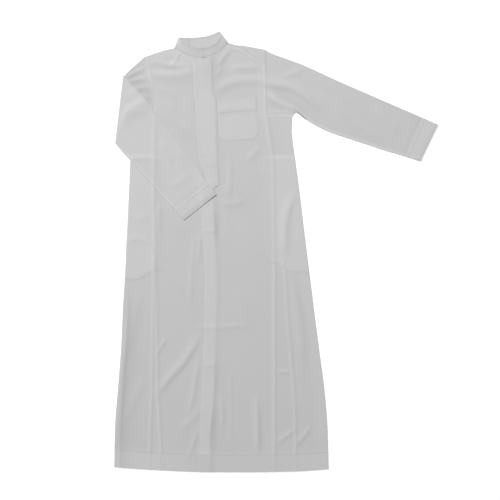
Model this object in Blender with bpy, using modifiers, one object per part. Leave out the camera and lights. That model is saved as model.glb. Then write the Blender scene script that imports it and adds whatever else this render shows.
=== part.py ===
"""Thobe robe, laid flat on its back with one sleeve folded across the chest.

The garment is a shirt-cut robe 1.42 m long from the shoulder. It is cut as a back, a yoke that
comes over the shoulders, two fronts that meet under a placket, two side panels that wrap round
the side edges, two narrow gores, two sleeves with cuffs, a stand collar, a chest pocket with its
band and two bags for the side pockets.

Sizes below are millimetres. +X is to the right of someone looking down at the robe, +Y is towards
the collar, +Z is up, and the origin is on the floor under the middle of the robe's box. "left" and
"right" in a name are that viewer's. Each cloth piece is an open sheet that holds the outer face,
and a Solidify modifier gives it its wall inwards.
"""

import math
from collections import namedtuple

import bmesh
import bpy
import numpy as np

MM = 0.001

# Cloth and seams
WALL = 1.0
CUFF_WALL = 1.4
COLLAR_WALL = 1.4
BAND_WALL = 1.5
SEAM_HALF = 0.15
LAY_GAP = 0.5

# How the layers lie
FRONT_TOP = 2.8
HEM_RISE = 2.4
HEM_DEPTH = 56.0
HEM_TURN_RADIUS = 1.15
HEM_RISE_ABOVE = 22.0
BAG_RISE = 1.0
NECK_RISE = 7.5
NECK_MIDDLE_X = -247.0
NECK_HALF_WIDTH = 105.0
NECK_TOP_Y = 645.0
NECK_SETTLES = 75.0
HEM_CALM_BELOW = 20.0
HEM_CALM_ABOVE = 60.0
FOLD_END_FADE = 1.6

# The closing's folded edge, which shows as a strip below the placket
STRIP_RISE = 0.5
STRIP_FROM_CENTRE = 40.0
STRIP_WIDTH = 38.0
STRIP_EDGE = 8.0
STRIP_TOP_Y = 205.0
STRIP_FADES = 35.0

# Levels down the body
ARMPIT_Y = 448.0
GORE_TOP_Y = 0.0
GORE_SHOULDER_Y = -33.0
HEM_Y = -729.3
ROWS_ABOVE_GORE = 14
ROWS_BELOW_GORE = 19
ROWS_ABOVE_ARMPIT = 5
BACK_COLUMNS = 4
YOKE_BACK_ROWS = 3
ROLL_STEPS = 4

# The sleeve that is folded over the chest
FOLD_INNER_RADIUS = 0.3
FOREARM_CLEAR = 0.5
CUFF_STEP = 0.5
CLEAR_FROM_X = -310.0
CLEAR_TO_X = -272.0
CLEAR_FROM_Y = 120.0
CLEAR_TO_Y = 160.0

Section = namedtuple("Section", "y left_edge left_gore left_seam centre right_seam right_gore right_edge")
BODY = [
    Section(448.0, -458, -403, -403, -236, -34, -34, 53),
    Section(404.0, -475, -404, -404, -234, -27, -27, 51),
    Section(355.0, -481, -405, -405, -230, -20, -20, 56),
    Section(305.0, -484, -406, -406, -224, -14, -14, 63),
    Section(206.0, -488, -407, -407, -211, -11, -11, 76),
    Section(73.0, -494, -405, -405, -206, -9, -9, 92),
    Section(0.0, -498, -405.2, -404, -200, -7, -5.8, 101),
    Section(-33.0, -499, -408, -403, -198, -7, 23, 105),
    Section(-126.0, -504, -409, -401, -196, -7, 31, 117),
    Section(-192.0, -508, -410, -400, -197, -7, 34, 125),
    Section(-325.0, -514, -412, -398, -201, -7, 45, 142),
    Section(-457.0, -524, -414, -395, -207, -7, 56, 159),
    Section(-590.0, -534, -419, -388, -213, -7, 62, 170),
    Section(-729.3, -537.5, -422, -383, -216, -7, 64, 174),
]

HEM_X = [-538, -484, -385, -269, -103, 46, 129, 174]
HEM_LINE_Y = [-712, -717, -723, -728, -729.3, -727, -723, -719]

# Shoulder, yoke and neck points, from the armhole inwards
LEFT_ARMHOLE_Y = [448, 487, 537, 608, 646]
LEFT_ARMHOLE_X = [-403, -410, -415, -429, -438]
RIGHT_ARMHOLE_Y = [448, 537, 632, 671]
RIGHT_ARMHOLE_X = [-34, -35, -37, -38]
LEFT_SHOULDER = [(-438, 646), (-412, 655), (-387, 663.5), (-362, 671), (-338, 676)]
RIGHT_SHOULDER = [(-157, 693), (-132, 686), (-100, 682.5), (-70, 677), (-38, 671)]
LEFT_YOKE_SEAM = [(-429, 608), (-411, 620), (-393, 632), (-355, 648), (-315, 661)]
RIGHT_YOKE_SEAM = [(-166, 684), (-138, 678.5), (-111, 671), (-68, 640), (-37, 632)]
LEFT_NECKLINE = [(-315, 661), (-297, 651), (-279, 645), (-261, 641), (-240, 641)]
RIGHT_NECKLINE = [(-240, 641), (-219, 647), (-203, 654), (-188, 663), (-176, 674), (-166, 684)]
BACK_NECKLINE = [
    (-338, 676),
    (-308, 673),
    (-280, 673.5),
    (-252, 675),
    (-222, 680),
    (-190, 686.5),
    (-157, 693),
]
BACK_YOKE_LEFT_Y = 587.0
BACK_YOKE_RIGHT_Y = 600.0

# The robe's largest folds: soft ridges from one point to another
Fold = namedtuple("Fold", "x0 y0 x1 y1 height half_width")
FOLDS = [
    Fold(-405, 626, -290, 626, 3.2, 15),
    Fold(-400, 582, -285, 578, 1.6, 22),
    Fold(-170, 541, -120, 562, 2.4, 15),
    Fold(-120, 562, -45, 572, 2.4, 15),
    Fold(-155, 598, -60, 600, 1.4, 18),
    Fold(-256, -270, -319, -370, 2.6, 17),
    Fold(-319, -370, -385, -470, 2.6, 17),
    Fold(-290, -247, -110, -249, 1.2, 18),
    Fold(-312, -585, -250, -522, 1.6, 18),
    Fold(-70, -495, -70, -640, 1.8, 17),
    Fold(30, 130, 36, -40, 1.6, 20),
    Fold(36, -40, 68, -160, 2.4, 20),
    Fold(68, -160, 92, -380, 2.4, 20),
    Fold(-27, 548, 15, 516, 2.8, 14),
    Fold(15, 516, 66, 468, 2.8, 14),
    Fold(130, 555, 300, 480, 1.4, 24),
]

Collar = namedtuple("Collar", "low_x low_y top_x top_y top_z inset")
COLLAR_FRONT_LEFT = [
    Collar(-224, 646, -230, 675, 14.0, 1.8),
    Collar(-240, 641, -247, 672, 14.6, 1.8),
    Collar(-261, 641, -263, 673, 14.4, 0.9),
    Collar(-279, 645, -280, 678, 13.6, 0.0),
    Collar(-297, 651, -295, 686, 12.4, 0.0),
    Collar(-315, 661, -309, 697, 10.6, 0.0),
    Collar(-327, 668.5, -317, 704, 8.4, 0.0),
]
COLLAR_BACK = [
    Collar(-308, 673, -300, 710, 0, 0.0),
    Collar(-280, 673.5, -278, 710.5, 0, 0.0),
    Collar(-252, 675, -250, 712.5, 0, 0.0),
    Collar(-222, 680, -228, 716, 0, 0.0),
    Collar(-190, 686.5, -206, 723.5, 0, 0.0),
]
COLLAR_FRONT_RIGHT = [
    Collar(-166, 684, -184, 714, 8.4, 0.0),
    Collar(-176, 674, -190, 702, 10.8, 0.0),
    Collar(-188, 663, -198, 691, 12.4, 0.0),
    Collar(-203, 654, -210, 682, 13.6, 0.0),
    Collar(-219, 647, -226, 675.5, 14.4, 0.0),
    Collar(-243, 641.3, -249, 672, 15.2, 0.0),
]
COLLAR_LEFT_CORNER = Collar(-338, 676, -323, 711, 6.0, 0.0)
COLLAR_RIGHT_CORNER = Collar(-157, 693, -186, 729.3, 6.0, 0.0)
COLLAR_ROWS = 3

# Sections of the sleeves, from the shoulder to the cuff: upper edge and lower edge
Ring = namedtuple("Ring", "top_x top_y low_x low_y")
STRAIGHT_SLEEVE = [
    Ring(-10, 656, 69, 461),
    Ring(46, 636, 97, 440),
    Ring(96, 617, 140, 414),
    Ring(159, 588, 185, 394),
    Ring(218, 561, 230, 379),
    Ring(271, 538, 275, 364),
    Ring(324, 515, 318, 350),
    Ring(377, 492, 360, 336),
    Ring(430, 469, 398, 325),
    Ring(490, 443, 434, 314),
]
STRAIGHT_CUFF_END = Ring(537.5, 422, 479, 300)
FOLDED_SLEEVE_UPPER = [
    Ring(-460, 625, -475, 431),
    Ring(-484, 604, -499, 401),
]
FOLD_LINE = Ring(-508, 583, -534, 358)
FOLDED_SLEEVE_LOWER = [
    Ring(-470, 544, -512, 334),
    Ring(-435, 505, -487, 307),
    Ring(-405, 471, -462, 279),
    Ring(-367, 418, -436, 250),
    Ring(-331, 370, -410, 222),
    Ring(-295, 322, -385, 193),
    Ring(-260, 274, -360, 165),
    Ring(-225, 226, -334, 137),
]
FOLDED_CUFF_END = Ring(-198, 191, -307, 105)
FRONT_ACROSS = 8
BACK_ACROSS = 7
CUFF_ROWS = 2

# Placket, pocket and bags
Strip = namedtuple("Strip", "y left right")
PLACKET = [
    Strip(537, -259, -209),
    Strip(487, -254, -197),
    Strip(371, -249, -195),
    Strip(288, -239, -192),
    Strip(222, -235, -188.5),
]
PLACKET_TOP = [(-262, 640.2), (-247, 640), (-232, 642.3), (-214, 648)]
PLACKET_TIP = (-213, 203)
PLACKET_ROWS = 16
PLACKET_TOP_GAP = 0.6
PLACKET_LEFT_DROP = 4.0
PLACKET_RIGHT_DROP = 1.0
POCKET_TOP_LEFT = (-193, 502)
POCKET_TOP_RIGHT = (-65, 512)
POCKET_LOW_LEFT = (-186, 365)
POCKET_LOW_RIGHT = (-56, 373)
POCKET_BAND_DEPTH = 41.0
POCKET_GAP = 0.8
POCKET_CORNER = 16.0
POCKET_COLUMNS = 6
POCKET_ROWS = 4
BAG_TOP_Y = 312.0
BAG_LOW_Y = -62.0
BAG_INSET = 9.0
BAG_Z = 2.3
BAG_ROWS = 8
BAG_FROM_SEAM = 3.0
BAG_FOOT_SLANT = 18.0
BAG_SIDE_NEAR = 12.0
BAG_SIDE_FAR = 45.0
BAG_END_NEAR = 18.0
BAG_END_FAR = 55.0

CLOTH_COLOUR = (0.80, 0.81, 0.83, 1.0)
CLOTH_ROUGHNESS = 0.85
STIFF_SHADE = 1.04


def column(name, y):
    """The x of one of the body's lines at this nominal level."""
    rows = sorted(BODY, key=lambda row: row.y)
    return float(np.interp(y, [row.y for row in rows], [getattr(row, name) for row in rows]))


def hem_line(x):
    return float(np.interp(x, HEM_X, HEM_LINE_Y))


def level_y(nominal, x):
    """Levels run level at the armpit and follow the hem's curve at the bottom."""
    share = (ARMPIT_Y - nominal) / (ARMPIT_Y - HEM_Y)
    return ARMPIT_Y + (hem_line(x) - ARMPIT_Y) * share


def smooth(value, low, high):
    t = min(max((value - low) / (high - low), 0.0), 1.0)
    return t * t * (3 - 2 * t)


def fold_height(fold, x, y):
    """A ridge with a bell-shaped section that fades at its two ends."""
    dx, dy = fold.x1 - fold.x0, fold.y1 - fold.y0
    length = math.hypot(dx, dy)
    along = ((x - fold.x0) * dx + (y - fold.y0) * dy) / length
    across = ((x - fold.x0) * dy - (y - fold.y0) * dx) / length
    past = max(-along, along - length, 0.0)
    fade = FOLD_END_FADE * fold.half_width
    return fold.height * math.exp(-((across / fold.half_width) ** 2) - (past / fade) ** 2)


def neck_height(x, y):
    beside = min(abs(x - NECK_MIDDLE_X) / NECK_HALF_WIDTH, 1.0)
    below = max(NECK_TOP_Y - y, 0.0)
    return NECK_RISE * math.cos(math.pi / 2 * beside) ** 2 * math.exp(-((below / NECK_SETTLES) ** 2))


def bag_height(x, y):
    """The front layer lifts a little over the two side-pocket bags."""
    left, right = column("left_seam", y), column("right_seam", y)
    beside_left = 1 - smooth(x, left + BAG_SIDE_NEAR, left + BAG_SIDE_FAR)
    beside_right = smooth(x, right - BAG_SIDE_FAR, right - BAG_SIDE_NEAR)
    down = smooth(y, BAG_LOW_Y - BAG_END_FAR, BAG_LOW_Y - BAG_END_NEAR)
    down *= 1 - smooth(y, BAG_TOP_Y + BAG_END_NEAR, BAG_TOP_Y + BAG_END_FAR)
    return BAG_RISE * max(beside_left, beside_right) * down


def front_height(x, y):
    """Height of the front layer's outer face above the floor."""
    above_hem = y - hem_line(x)
    hem = HEM_RISE * (1 - smooth(above_hem, HEM_DEPTH, HEM_DEPTH + HEM_RISE_ABOVE))
    left = column("centre", y) - STRIP_FROM_CENTRE
    right = left + STRIP_WIDTH
    strip = smooth(x, left - STRIP_EDGE, left) * (1 - smooth(x, right, right + STRIP_EDGE))
    strip *= 1 - smooth(y, STRIP_TOP_Y, STRIP_TOP_Y + STRIP_FADES)
    folds = sum(fold_height(fold, x, y) for fold in FOLDS)
    calm = smooth(above_hem, HEM_DEPTH - HEM_CALM_BELOW, HEM_DEPTH + HEM_CALM_ABOVE)
    layers = FRONT_TOP + hem + STRIP_RISE * strip
    return layers + folds * calm + neck_height(x, y) + bag_height(x, y)


def lerp(a, b, t):
    return tuple(p + (q - p) * t for p, q in zip(a, b))


def spaced(first, last, steps):
    return [lerp(first, last, i / steps) for i in range(steps + 1)]


def levels(first, last, steps):
    return [first + (last - first) * i / steps for i in range(steps + 1)]


def arc_angles():
    return [math.pi * i / ROLL_STEPS for i in range(ROLL_STEPS + 1)]


def material(name, shade=1.0):
    found = bpy.data.materials.new(name)
    found.use_nodes = True
    shader = found.node_tree.nodes["Principled BSDF"]
    shader.inputs["Base Color"].default_value = tuple(c * shade for c in CLOTH_COLOUR[:3]) + (1.0,)
    shader.inputs["Roughness"].default_value = CLOTH_ROUGHNESS
    shader.inputs["Metallic"].default_value = 0.0
    return found


def cloth(name, rows, wall=WALL, closed=False, absent=None, shade=1.0):
    """One piece of cloth from rows of points on its outer face.

    Seen from outside, rows run downwards and the points of a row run to the right. A closed piece
    is a tube whose last point in each row meets the first. absent(row, column) leaves a cell out.
    """
    last_row = len(rows) - 1
    last_column = len(rows[0]) - 1 + closed
    bm = bmesh.new()
    bmesh.ops.create_grid(bm, x_segments=last_column, y_segments=last_row, size=1.0)

    def cell(point):
        return (1 - point.y) / 2 * last_row, (point.x + 1) / 2 * last_column

    if absent:
        cells = [(face, cell(face.calc_center_median())) for face in bm.faces]
        left_out = [face for face, (r, c) in cells if absent(int(r), int(c))]
        bmesh.ops.delete(bm, geom=left_out, context="FACES")
    for vertex in bm.verts:
        r, c = (round(value) for value in cell(vertex.co))
        vertex.co = [value * MM for value in rows[r][c % len(rows[r])]]
    if closed:
        bmesh.ops.remove_doubles(bm, verts=bm.verts, dist=1e-7)
    mesh = bpy.data.meshes.new(name)
    bm.to_mesh(mesh)
    bm.free()
    return finish(name, mesh, wall, shade)


def finish(name, mesh, wall, shade):
    mesh.shade_smooth()
    mesh.materials.append(material(name + "_cloth", shade))
    piece = bpy.data.objects.new(name, mesh)
    robe.objects.link(piece)
    solidify = piece.modifiers.new("wall", "SOLIDIFY")
    solidify.thickness = wall * MM
    solidify.offset = -1.0
    solidify.use_even_offset = True
    solidify.use_quality_normals = True
    return piece


def armhole_x(side, y):
    ys, xs = (LEFT_ARMHOLE_Y, LEFT_ARMHOLE_X) if side == "left" else (RIGHT_ARMHOLE_Y, RIGHT_ARMHOLE_X)
    return float(np.interp(y, ys, xs))


def armhole(side, top_y, low_y, steps):
    """Points down an armhole seam."""
    return [(armhole_x(side, y), y) for y in levels(top_y, low_y, steps)]


def lower_levels():
    """Nominal levels from the armpit down to the line of the hem's stitches."""
    stitch = HEM_Y + HEM_DEPTH
    above = levels(ARMPIT_Y, GORE_TOP_Y, ROWS_ABOVE_GORE)
    below = levels(GORE_SHOULDER_Y, stitch + HEM_RISE_ABOVE, ROWS_BELOW_GORE)
    return above + below + [stitch]


def hem_rows():
    """(nominal level, depth under the outer face) of the rows that turn the hem up inside."""
    turn = HEM_TURN_RADIUS
    fold = [
        (HEM_Y + turn * (1 - math.sin(angle)), turn * (1 - math.cos(angle)))
        for angle in arc_angles()
    ]
    return fold + [(HEM_Y + HEM_DEPTH, 2 * turn)]


def body_rows():
    return [(level, 0.0) for level in lower_levels()] + hem_rows()


def front_point(x, y, depth=0.0):
    return (x, y, front_height(x, y) - depth)


def lower_part(left_name, right_name, columns):
    """Rows of a panel between two of the body's lines, from the armpit to the turned-up hem."""
    rows = []
    for level, depth in body_rows():
        left = column(left_name, level) + SEAM_HALF
        right = column(right_name, level) - SEAM_HALF
        rows.append([front_point(x, level_y(level, x), depth) for x in levels(left, right, columns)])
    return rows


def upper_part(top, low_left, low_right, left_side, right_side):
    """Rows between a panel's top edge and the armpit's level, with its sides given as points."""
    rows = []
    steps = len(left_side) - 1
    for j in range(steps):
        t = j / steps
        row = []
        for i, start in enumerate(top):
            u = i / (len(top) - 1)
            end = lerp(low_left, low_right, u)
            x, y = lerp(start, end, t)
            pull_left = [a - b for a, b in zip(left_side[j], lerp(top[0], low_left, t))]
            pull_right = [a - b for a, b in zip(right_side[j], lerp(top[-1], low_right, t))]
            x += pull_left[0] * (1 - u) + pull_right[0] * u
            y += pull_left[1] * (1 - u) + pull_right[1] * u
            row.append(front_point(x, y))
        rows.append(row)
    return rows


def centre_line(top_y, steps):
    """Points down the centre-front seam from the neckline to the armpit's level."""
    low = (column("centre", ARMPIT_Y), ARMPIT_Y)
    return spaced((RIGHT_NECKLINE[0][0], top_y), low, steps)


def moved(points, dx=0.0, dy=0.0):
    return [(x + dx, y + dy) for x, y in points]


def build_front_left():
    """The front on the viewer's left, from its armhole to the centre-front seam."""
    gap = SEAM_HALF
    side = moved(armhole("left", LEFT_YOKE_SEAM[0][1] - gap, ARMPIT_Y, ROWS_ABOVE_ARMPIT), gap)
    middle = moved(centre_line(LEFT_NECKLINE[-1][1] - gap, ROWS_ABOVE_ARMPIT), -gap)
    top = [side[0]] + moved(LEFT_YOKE_SEAM[1:] + LEFT_NECKLINE[1:-1], 0, -gap) + [middle[0]]
    upper = upper_part(top, side[-1], middle[-1], side, middle)
    cloth("front_left", upper + lower_part("left_seam", "centre", len(top) - 1))


def build_front_right():
    """The front on the viewer's right, which laps over the other under the placket."""
    gap = SEAM_HALF
    middle = moved(centre_line(RIGHT_NECKLINE[0][1] - gap, ROWS_ABOVE_ARMPIT), gap)
    side = moved(armhole("right", RIGHT_YOKE_SEAM[-1][1] - gap, ARMPIT_Y, ROWS_ABOVE_ARMPIT), -gap)
    top = [middle[0]] + moved(RIGHT_NECKLINE[1:] + RIGHT_YOKE_SEAM[1:-1], 0, -gap) + [side[0]]
    upper = upper_part(top, middle[-1], side[-1], middle, side)
    cloth("front_right", upper + lower_part("centre", "right_seam", len(top) - 1))


def build_gore(side):
    """A narrow wedge let in between a front and its side panel, from the pocket to the hem."""
    names = ("left_gore", "left_seam") if side == "left" else ("right_seam", "right_gore")
    rows = lower_part(names[0], names[1], 1 if side == "left" else 2)
    cloth("gore_" + side, rows[ROWS_ABOVE_GORE:])


def side_points(side, level, depth):
    """One row of a side panel: its front face, the roll at the robe's edge, and its back face."""
    sign = 1 if side == "right" else -1
    edge = column(side + "_edge", level)
    y = level_y(level, edge)
    radius = front_height(edge, y) / 2
    seam = column(side + ("_gore" if level < GORE_TOP_Y + 1 else "_seam"), level) + sign * SEAM_HALF
    back = column(side + "_seam", level) + sign * SEAM_HALF
    flat_end = edge - sign * radius
    front = [lerp((seam,), (flat_end,), t)[0] for t in (0.0, 0.5)]
    row = [front_point(x, level_y(level, x), depth) for x in front]
    for angle in arc_angles():
        reach = (radius - depth) * math.sin(angle)
        row.append((flat_end + sign * reach, y, radius + (radius - depth) * math.cos(angle)))
    row.append(((flat_end + back) / 2, level_y(level, (flat_end + back) / 2), depth))
    row.append((back, level_y(level, back), depth))
    return row if side == "right" else row[::-1]


def build_side_panel(side):
    rows = [side_points(side, level, depth) for level, depth in body_rows()]
    top = [(x, y - 2 * SEAM_HALF, z) for x, y, z in rows[0]]
    cloth("side_panel_" + side, [top] + rows[1:])


def build_back():
    """The back panel, which lies on the floor with its outer face down."""
    gap = SEAM_HALF
    steps = ROWS_ABOVE_ARMPIT - 1
    rows = []
    left = armhole("left", BACK_YOKE_LEFT_Y - gap, ARMPIT_Y, steps)
    right = armhole("right", BACK_YOKE_RIGHT_Y - gap, ARMPIT_Y, steps)
    for a, b in list(zip(left, right))[:-1]:
        ends = (b[0] - gap, b[1], 0.0), (a[0] + gap, a[1], 0.0)
        rows.append(spaced(*ends, BACK_COLUMNS))
    for level, depth in body_rows():
        x0 = column("right_seam", level) - gap
        x1 = column("left_seam", level) + gap
        rows.append([(x, level_y(level, x), depth) for x in levels(x0, x1, BACK_COLUMNS)])
    cloth("back", rows)


def build_yoke():
    """The yoke: its back lies on the floor, and its two shoulders roll over to the front."""
    gap = SEAM_HALF
    shoulders = LEFT_SHOULDER[:-1] + BACK_NECKLINE + RIGHT_SHOULDER[1:]
    seams = LEFT_YOKE_SEAM + [None] * (len(BACK_NECKLINE) - 2) + RIGHT_YOKE_SEAM
    last = len(shoulders) - 1
    left_flap, right_flap = len(LEFT_SHOULDER) - 1, last - len(RIGHT_SHOULDER) + 1
    columns = []
    for i, (shoulder, seam) in enumerate(zip(shoulders, seams)):
        inset = 2 * gap if i == 0 else -2 * gap if i == last else 0.0
        x, y = shoulder
        low_y = BACK_YOKE_LEFT_Y + (BACK_YOKE_RIGHT_Y - BACK_YOKE_LEFT_Y) * i / last + gap
        low_ends = armhole_x("left", BACK_YOKE_LEFT_Y), armhole_x("right", BACK_YOKE_RIGHT_Y)
        low_x = float(np.interp(i, [0, last], low_ends))
        if seam is None:
            back = spaced((low_x, low_y), (x, y - gap), YOKE_BACK_ROWS)
            columns.append([(px, py, 0.0) for px, py in back] + [(x, y - gap, 0.0)] * (ROLL_STEPS + 2))
            continue
        radius = front_height(x, y) / 2
        length = math.dist(shoulder, seam)
        out = [(a - b) / length for a, b in zip(shoulder, seam)]
        start = (x - out[0] * radius, y - out[1] * radius - gap)
        back = spaced((low_x, low_y), start, YOKE_BACK_ROWS)[:-1]
        points = [(px, py, 0.0) for px, py in back]
        for angle in arc_angles():
            reach = radius * math.sin(angle)
            height = radius - radius * math.cos(angle)
            points.append((start[0] + out[0] * reach, start[1] + out[1] * reach, height))
        for t in (0.5, 1.0):
            px, py = lerp(start, (seam[0], seam[1] + gap), t)
            points.append(front_point(px, py))
        columns.append([(px + inset, py, pz) for px, py, pz in points])
    rows = [list(row) for row in zip(*columns)]

    def absent(row, column_index):
        return row >= YOKE_BACK_ROWS and left_flap <= column_index < right_flap

    cloth("yoke", rows, absent=absent)


def tube_ring(front, back, height_at, place):
    """One ring of a flattened tube.

    front runs over the upper face from the tube's top edge to its low edge, and back returns under
    it. The ends of both lie on the tube's outline, and the wall rolls round there.
    """
    ring = []
    for path, upper in ((front, True), (back, False)):
        ends = [path[0], path[-1]]
        outs = []
        for end, nearby in ((path[0], path[1]), (path[-1], path[-2])):
            length = math.dist(end, nearby)
            outs.append([(a - b) / length for a, b in zip(end, nearby)])
        radii = [height_at(*end) / 2 for end in ends]
        inner = [tuple(e - o * r for e, o in zip(end, out)) for end, out, r in zip(ends, outs, radii)]
        for x, y in [inner[0]] + path[1:-1]:
            ring.append(place(x, y, height_at(x, y) if upper else 0.0, height_at(x, y)))
        (x, y), out, radius = inner[1], outs[1], radii[1]
        for angle in arc_angles()[:-1]:
            reach = radius * math.sin(angle)
            lift = radius * (math.cos(angle) if upper else -math.cos(angle))
            ring.append(place(x + out[0] * reach, y + out[1] * reach, radius + lift, 2 * radius))
    return ring


def lie_flat(x, y, height, thickness):
    return (x, y, height)


def straight_ring(ring, height_at, place=lie_flat):
    top, low = (ring.top_x, ring.top_y), (ring.low_x, ring.low_y)
    return tube_ring(spaced(top, low, FRONT_ACROSS), spaced(low, top, BACK_ACROSS), height_at, place)


def armhole_ring(side, shoulder, yoke_seam, back_seam_y):
    """The sleeve's first ring: down the armhole, and along the side panel's top to the armpit."""
    sign = 1 if side == "right" else -1
    gap = sign * SEAM_HALF
    down = armhole(side, yoke_seam[1], ARMPIT_Y, ROWS_ABOVE_ARMPIT)
    corner = down[-1]
    armpit = (column(side + "_edge", ARMPIT_Y), ARMPIT_Y)
    front = [shoulder] + down + [lerp(corner, armpit, 0.5), armpit]
    up = armhole(side, ARMPIT_Y, back_seam_y, ROWS_ABOVE_ARMPIT - 1)
    back = [armpit, lerp(armpit, corner, 0.5)] + up + [shoulder]
    return tube_ring(moved(front, gap), moved(back, gap), front_height, lie_flat)


def along_sleeve(first, second, distance):
    """A ring this far past the first one, towards the second."""
    step = math.dist(
        ((first.top_x + first.low_x) / 2, (first.top_y + first.low_y) / 2),
        ((second.top_x + second.low_x) / 2, (second.top_y + second.low_y) / 2),
    )
    return Ring(*lerp(first, second, distance / step))


def build_straight_sleeve():
    """The sleeve on the viewer's right, which lies out to the side."""
    start = armhole_ring("right", RIGHT_SHOULDER[-1], RIGHT_YOKE_SEAM[-1], BACK_YOKE_RIGHT_Y)
    end = along_sleeve(STRAIGHT_SLEEVE[-1], STRAIGHT_CUFF_END, -SEAM_HALF)
    rings = [start] + [straight_ring(ring, front_height) for ring in STRAIGHT_SLEEVE[:-1] + [end]]
    cloth("sleeve_right", [ring[::-1] for ring in rings], closed=True)
    cuff = [along_sleeve(STRAIGHT_SLEEVE[-1], STRAIGHT_CUFF_END, SEAM_HALF), STRAIGHT_CUFF_END]

    def cuff_height(x, y):
        return front_height(x, y) + CUFF_STEP

    sections = [Ring(*ends) for ends in spaced(cuff[0], cuff[1], CUFF_ROWS)]
    rings = [straight_ring(section, cuff_height) for section in sections]
    cloth("cuff_right", [ring[::-1] for ring in rings], wall=CUFF_WALL, closed=True)


def placket_clearance(x, y):
    """The folded sleeve's end lies on the placket, a cloth's thickness higher."""
    along = smooth(x, CLEAR_FROM_X, CLEAR_TO_X)
    return (WALL + LAY_GAP) * along * smooth(y, CLEAR_FROM_Y, CLEAR_TO_Y)


def forearm_place(x, y, height, thickness):
    """The folded part lies on the chest with the sleeve's back face up."""
    under = front_height(x, y) + FOREARM_CLEAR + placket_clearance(x, y)
    return (x, y, under + thickness - height)


def plain_height(x, y):
    return FRONT_TOP


def build_folded_sleeve():
    """The sleeve on the viewer's left: out to the fold line, over it, and back across the chest."""
    start = armhole_ring("left", LEFT_SHOULDER[0], LEFT_YOKE_SEAM[0], BACK_YOKE_LEFT_Y)
    rings = [start] + [straight_ring(ring, front_height) for ring in FOLDED_SLEEVE_UPPER]
    run = (FOLD_LINE.top_x - FOLD_LINE.low_x, FOLD_LINE.top_y - FOLD_LINE.low_y)
    length = math.hypot(*run)
    inwards = (run[1] / length, -run[0] / length)
    reach = FOLD_INNER_RADIUS + FRONT_TOP
    axis = Ring(*[a + b * reach for a, b in zip(FOLD_LINE, inwards * 2)])
    for angle in arc_angles():

        def over_fold(x, y, height, thickness, angle=angle):
            radius = FOLD_INNER_RADIUS + thickness - height
            out = radius * math.sin(angle)
            z = FRONT_TOP + FOLD_INNER_RADIUS - radius * math.cos(angle)
            return (x - inwards[0] * out, y - inwards[1] * out, z)

        rings.append(straight_ring(axis, plain_height, over_fold))
    end = along_sleeve(FOLDED_SLEEVE_LOWER[-1], FOLDED_CUFF_END, -SEAM_HALF)
    for ring in FOLDED_SLEEVE_LOWER[:-1] + [end]:
        rings.append(straight_ring(ring, plain_height, forearm_place))
    cloth("sleeve_left", rings, closed=True)
    cuff = [along_sleeve(FOLDED_SLEEVE_LOWER[-1], FOLDED_CUFF_END, SEAM_HALF), FOLDED_CUFF_END]

    def cuff_height(x, y):
        return FRONT_TOP + CUFF_STEP

    sections = [Ring(*ends) for ends in spaced(cuff[0], cuff[1], CUFF_ROWS)]
    rings = [straight_ring(section, cuff_height, forearm_place) for section in sections]
    cloth("cuff_left", rings, wall=CUFF_WALL, closed=True)


def collar_row(station, share, low_z, radius=0.0):
    """A point on the collar's outer face, at this share of its height."""
    x = station.low_x + (station.top_x - station.low_x) * share
    y = station.low_y + SEAM_HALF * 2 * (1 - share) + (station.top_y - station.low_y) * share
    z = low_z + (station.top_z - low_z) * share
    slope = math.atan2(station.top_z - low_z, math.dist(station[:2], station[2:4]))
    return (x, y + station.inset * math.sin(slope), z - station.inset * math.cos(slope))


def build_collar():
    """The stand collar: flat on the floor behind the neck, arched over it in front."""
    shares = [i / (COLLAR_ROWS - 1) for i in range(COLLAR_ROWS)]
    columns = []
    for station in COLLAR_FRONT_LEFT:
        low_z = front_height(station.low_x, station.low_y)
        columns.append([collar_row(station, share, low_z) for share in shares])
    columns += corner_columns(COLLAR_LEFT_CORNER, -1, shares)
    for station in COLLAR_BACK:
        columns.append([collar_row(station, share, 0.0) for share in shares])
    columns += corner_columns(COLLAR_RIGHT_CORNER, 1, shares)[::-1]
    for station in COLLAR_FRONT_RIGHT:
        low_z = front_height(station.low_x, station.low_y)
        columns.append([collar_row(station, share, low_z) for share in shares])
    rows = [[points[j] for points in columns] for j in range(COLLAR_ROWS)]
    cloth("collar", rows, wall=COLLAR_WALL)


def corner_columns(corner, sign, shares):
    """The collar's fold at one side, from its front layer round to its back layer."""
    columns = []
    low_height = front_height(corner.low_x, corner.low_y)
    for angle in arc_angles():
        points = []
        for share in shares:
            radius = (low_height + (corner.top_z - low_height) * share) / 2
            x, y, _ = collar_row(corner, share, 0.0)
            x += sign * radius * (math.sin(angle) - 1)
            points.append((x, y, radius + radius * math.cos(angle)))
        columns.append(points)
    return columns


def placket_edges(y):
    ys = [strip.y for strip in PLACKET][::-1]
    left = float(np.interp(y, ys, [strip.left for strip in PLACKET][::-1]))
    right = float(np.interp(y, ys, [strip.right for strip in PLACKET][::-1]))
    return left, right


def build_placket():
    """The placket's strip down the centre front, with its pointed end."""
    rise = WALL + LAY_GAP
    rows = [[front_point(x, y, -rise) for x, y in moved(PLACKET_TOP, 0, -PLACKET_TOP_GAP)]]
    columns = len(PLACKET_TOP) - 1
    top_y, low_y = PLACKET_TOP[0][1], PLACKET[-1].y
    for j in range(1, PLACKET_ROWS + 1):
        y = top_y + (low_y - top_y) * j / PLACKET_ROWS
        left, right = placket_edges(y)
        rows.append([front_point(x, y, -rise) for x in levels(left, right, columns)])
    left, right = placket_edges(low_y)
    tip_ys = [low_y - PLACKET_LEFT_DROP, PLACKET_TIP[1], low_y - PLACKET_RIGHT_DROP]
    point = []
    for x in levels(left, right, columns):
        y = float(np.interp(x, [left, PLACKET_TIP[0], right], tip_ys))
        point.append(front_point(x, y, -rise))
    cloth("placket", rows + [point], shade=STIFF_SHADE)


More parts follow.
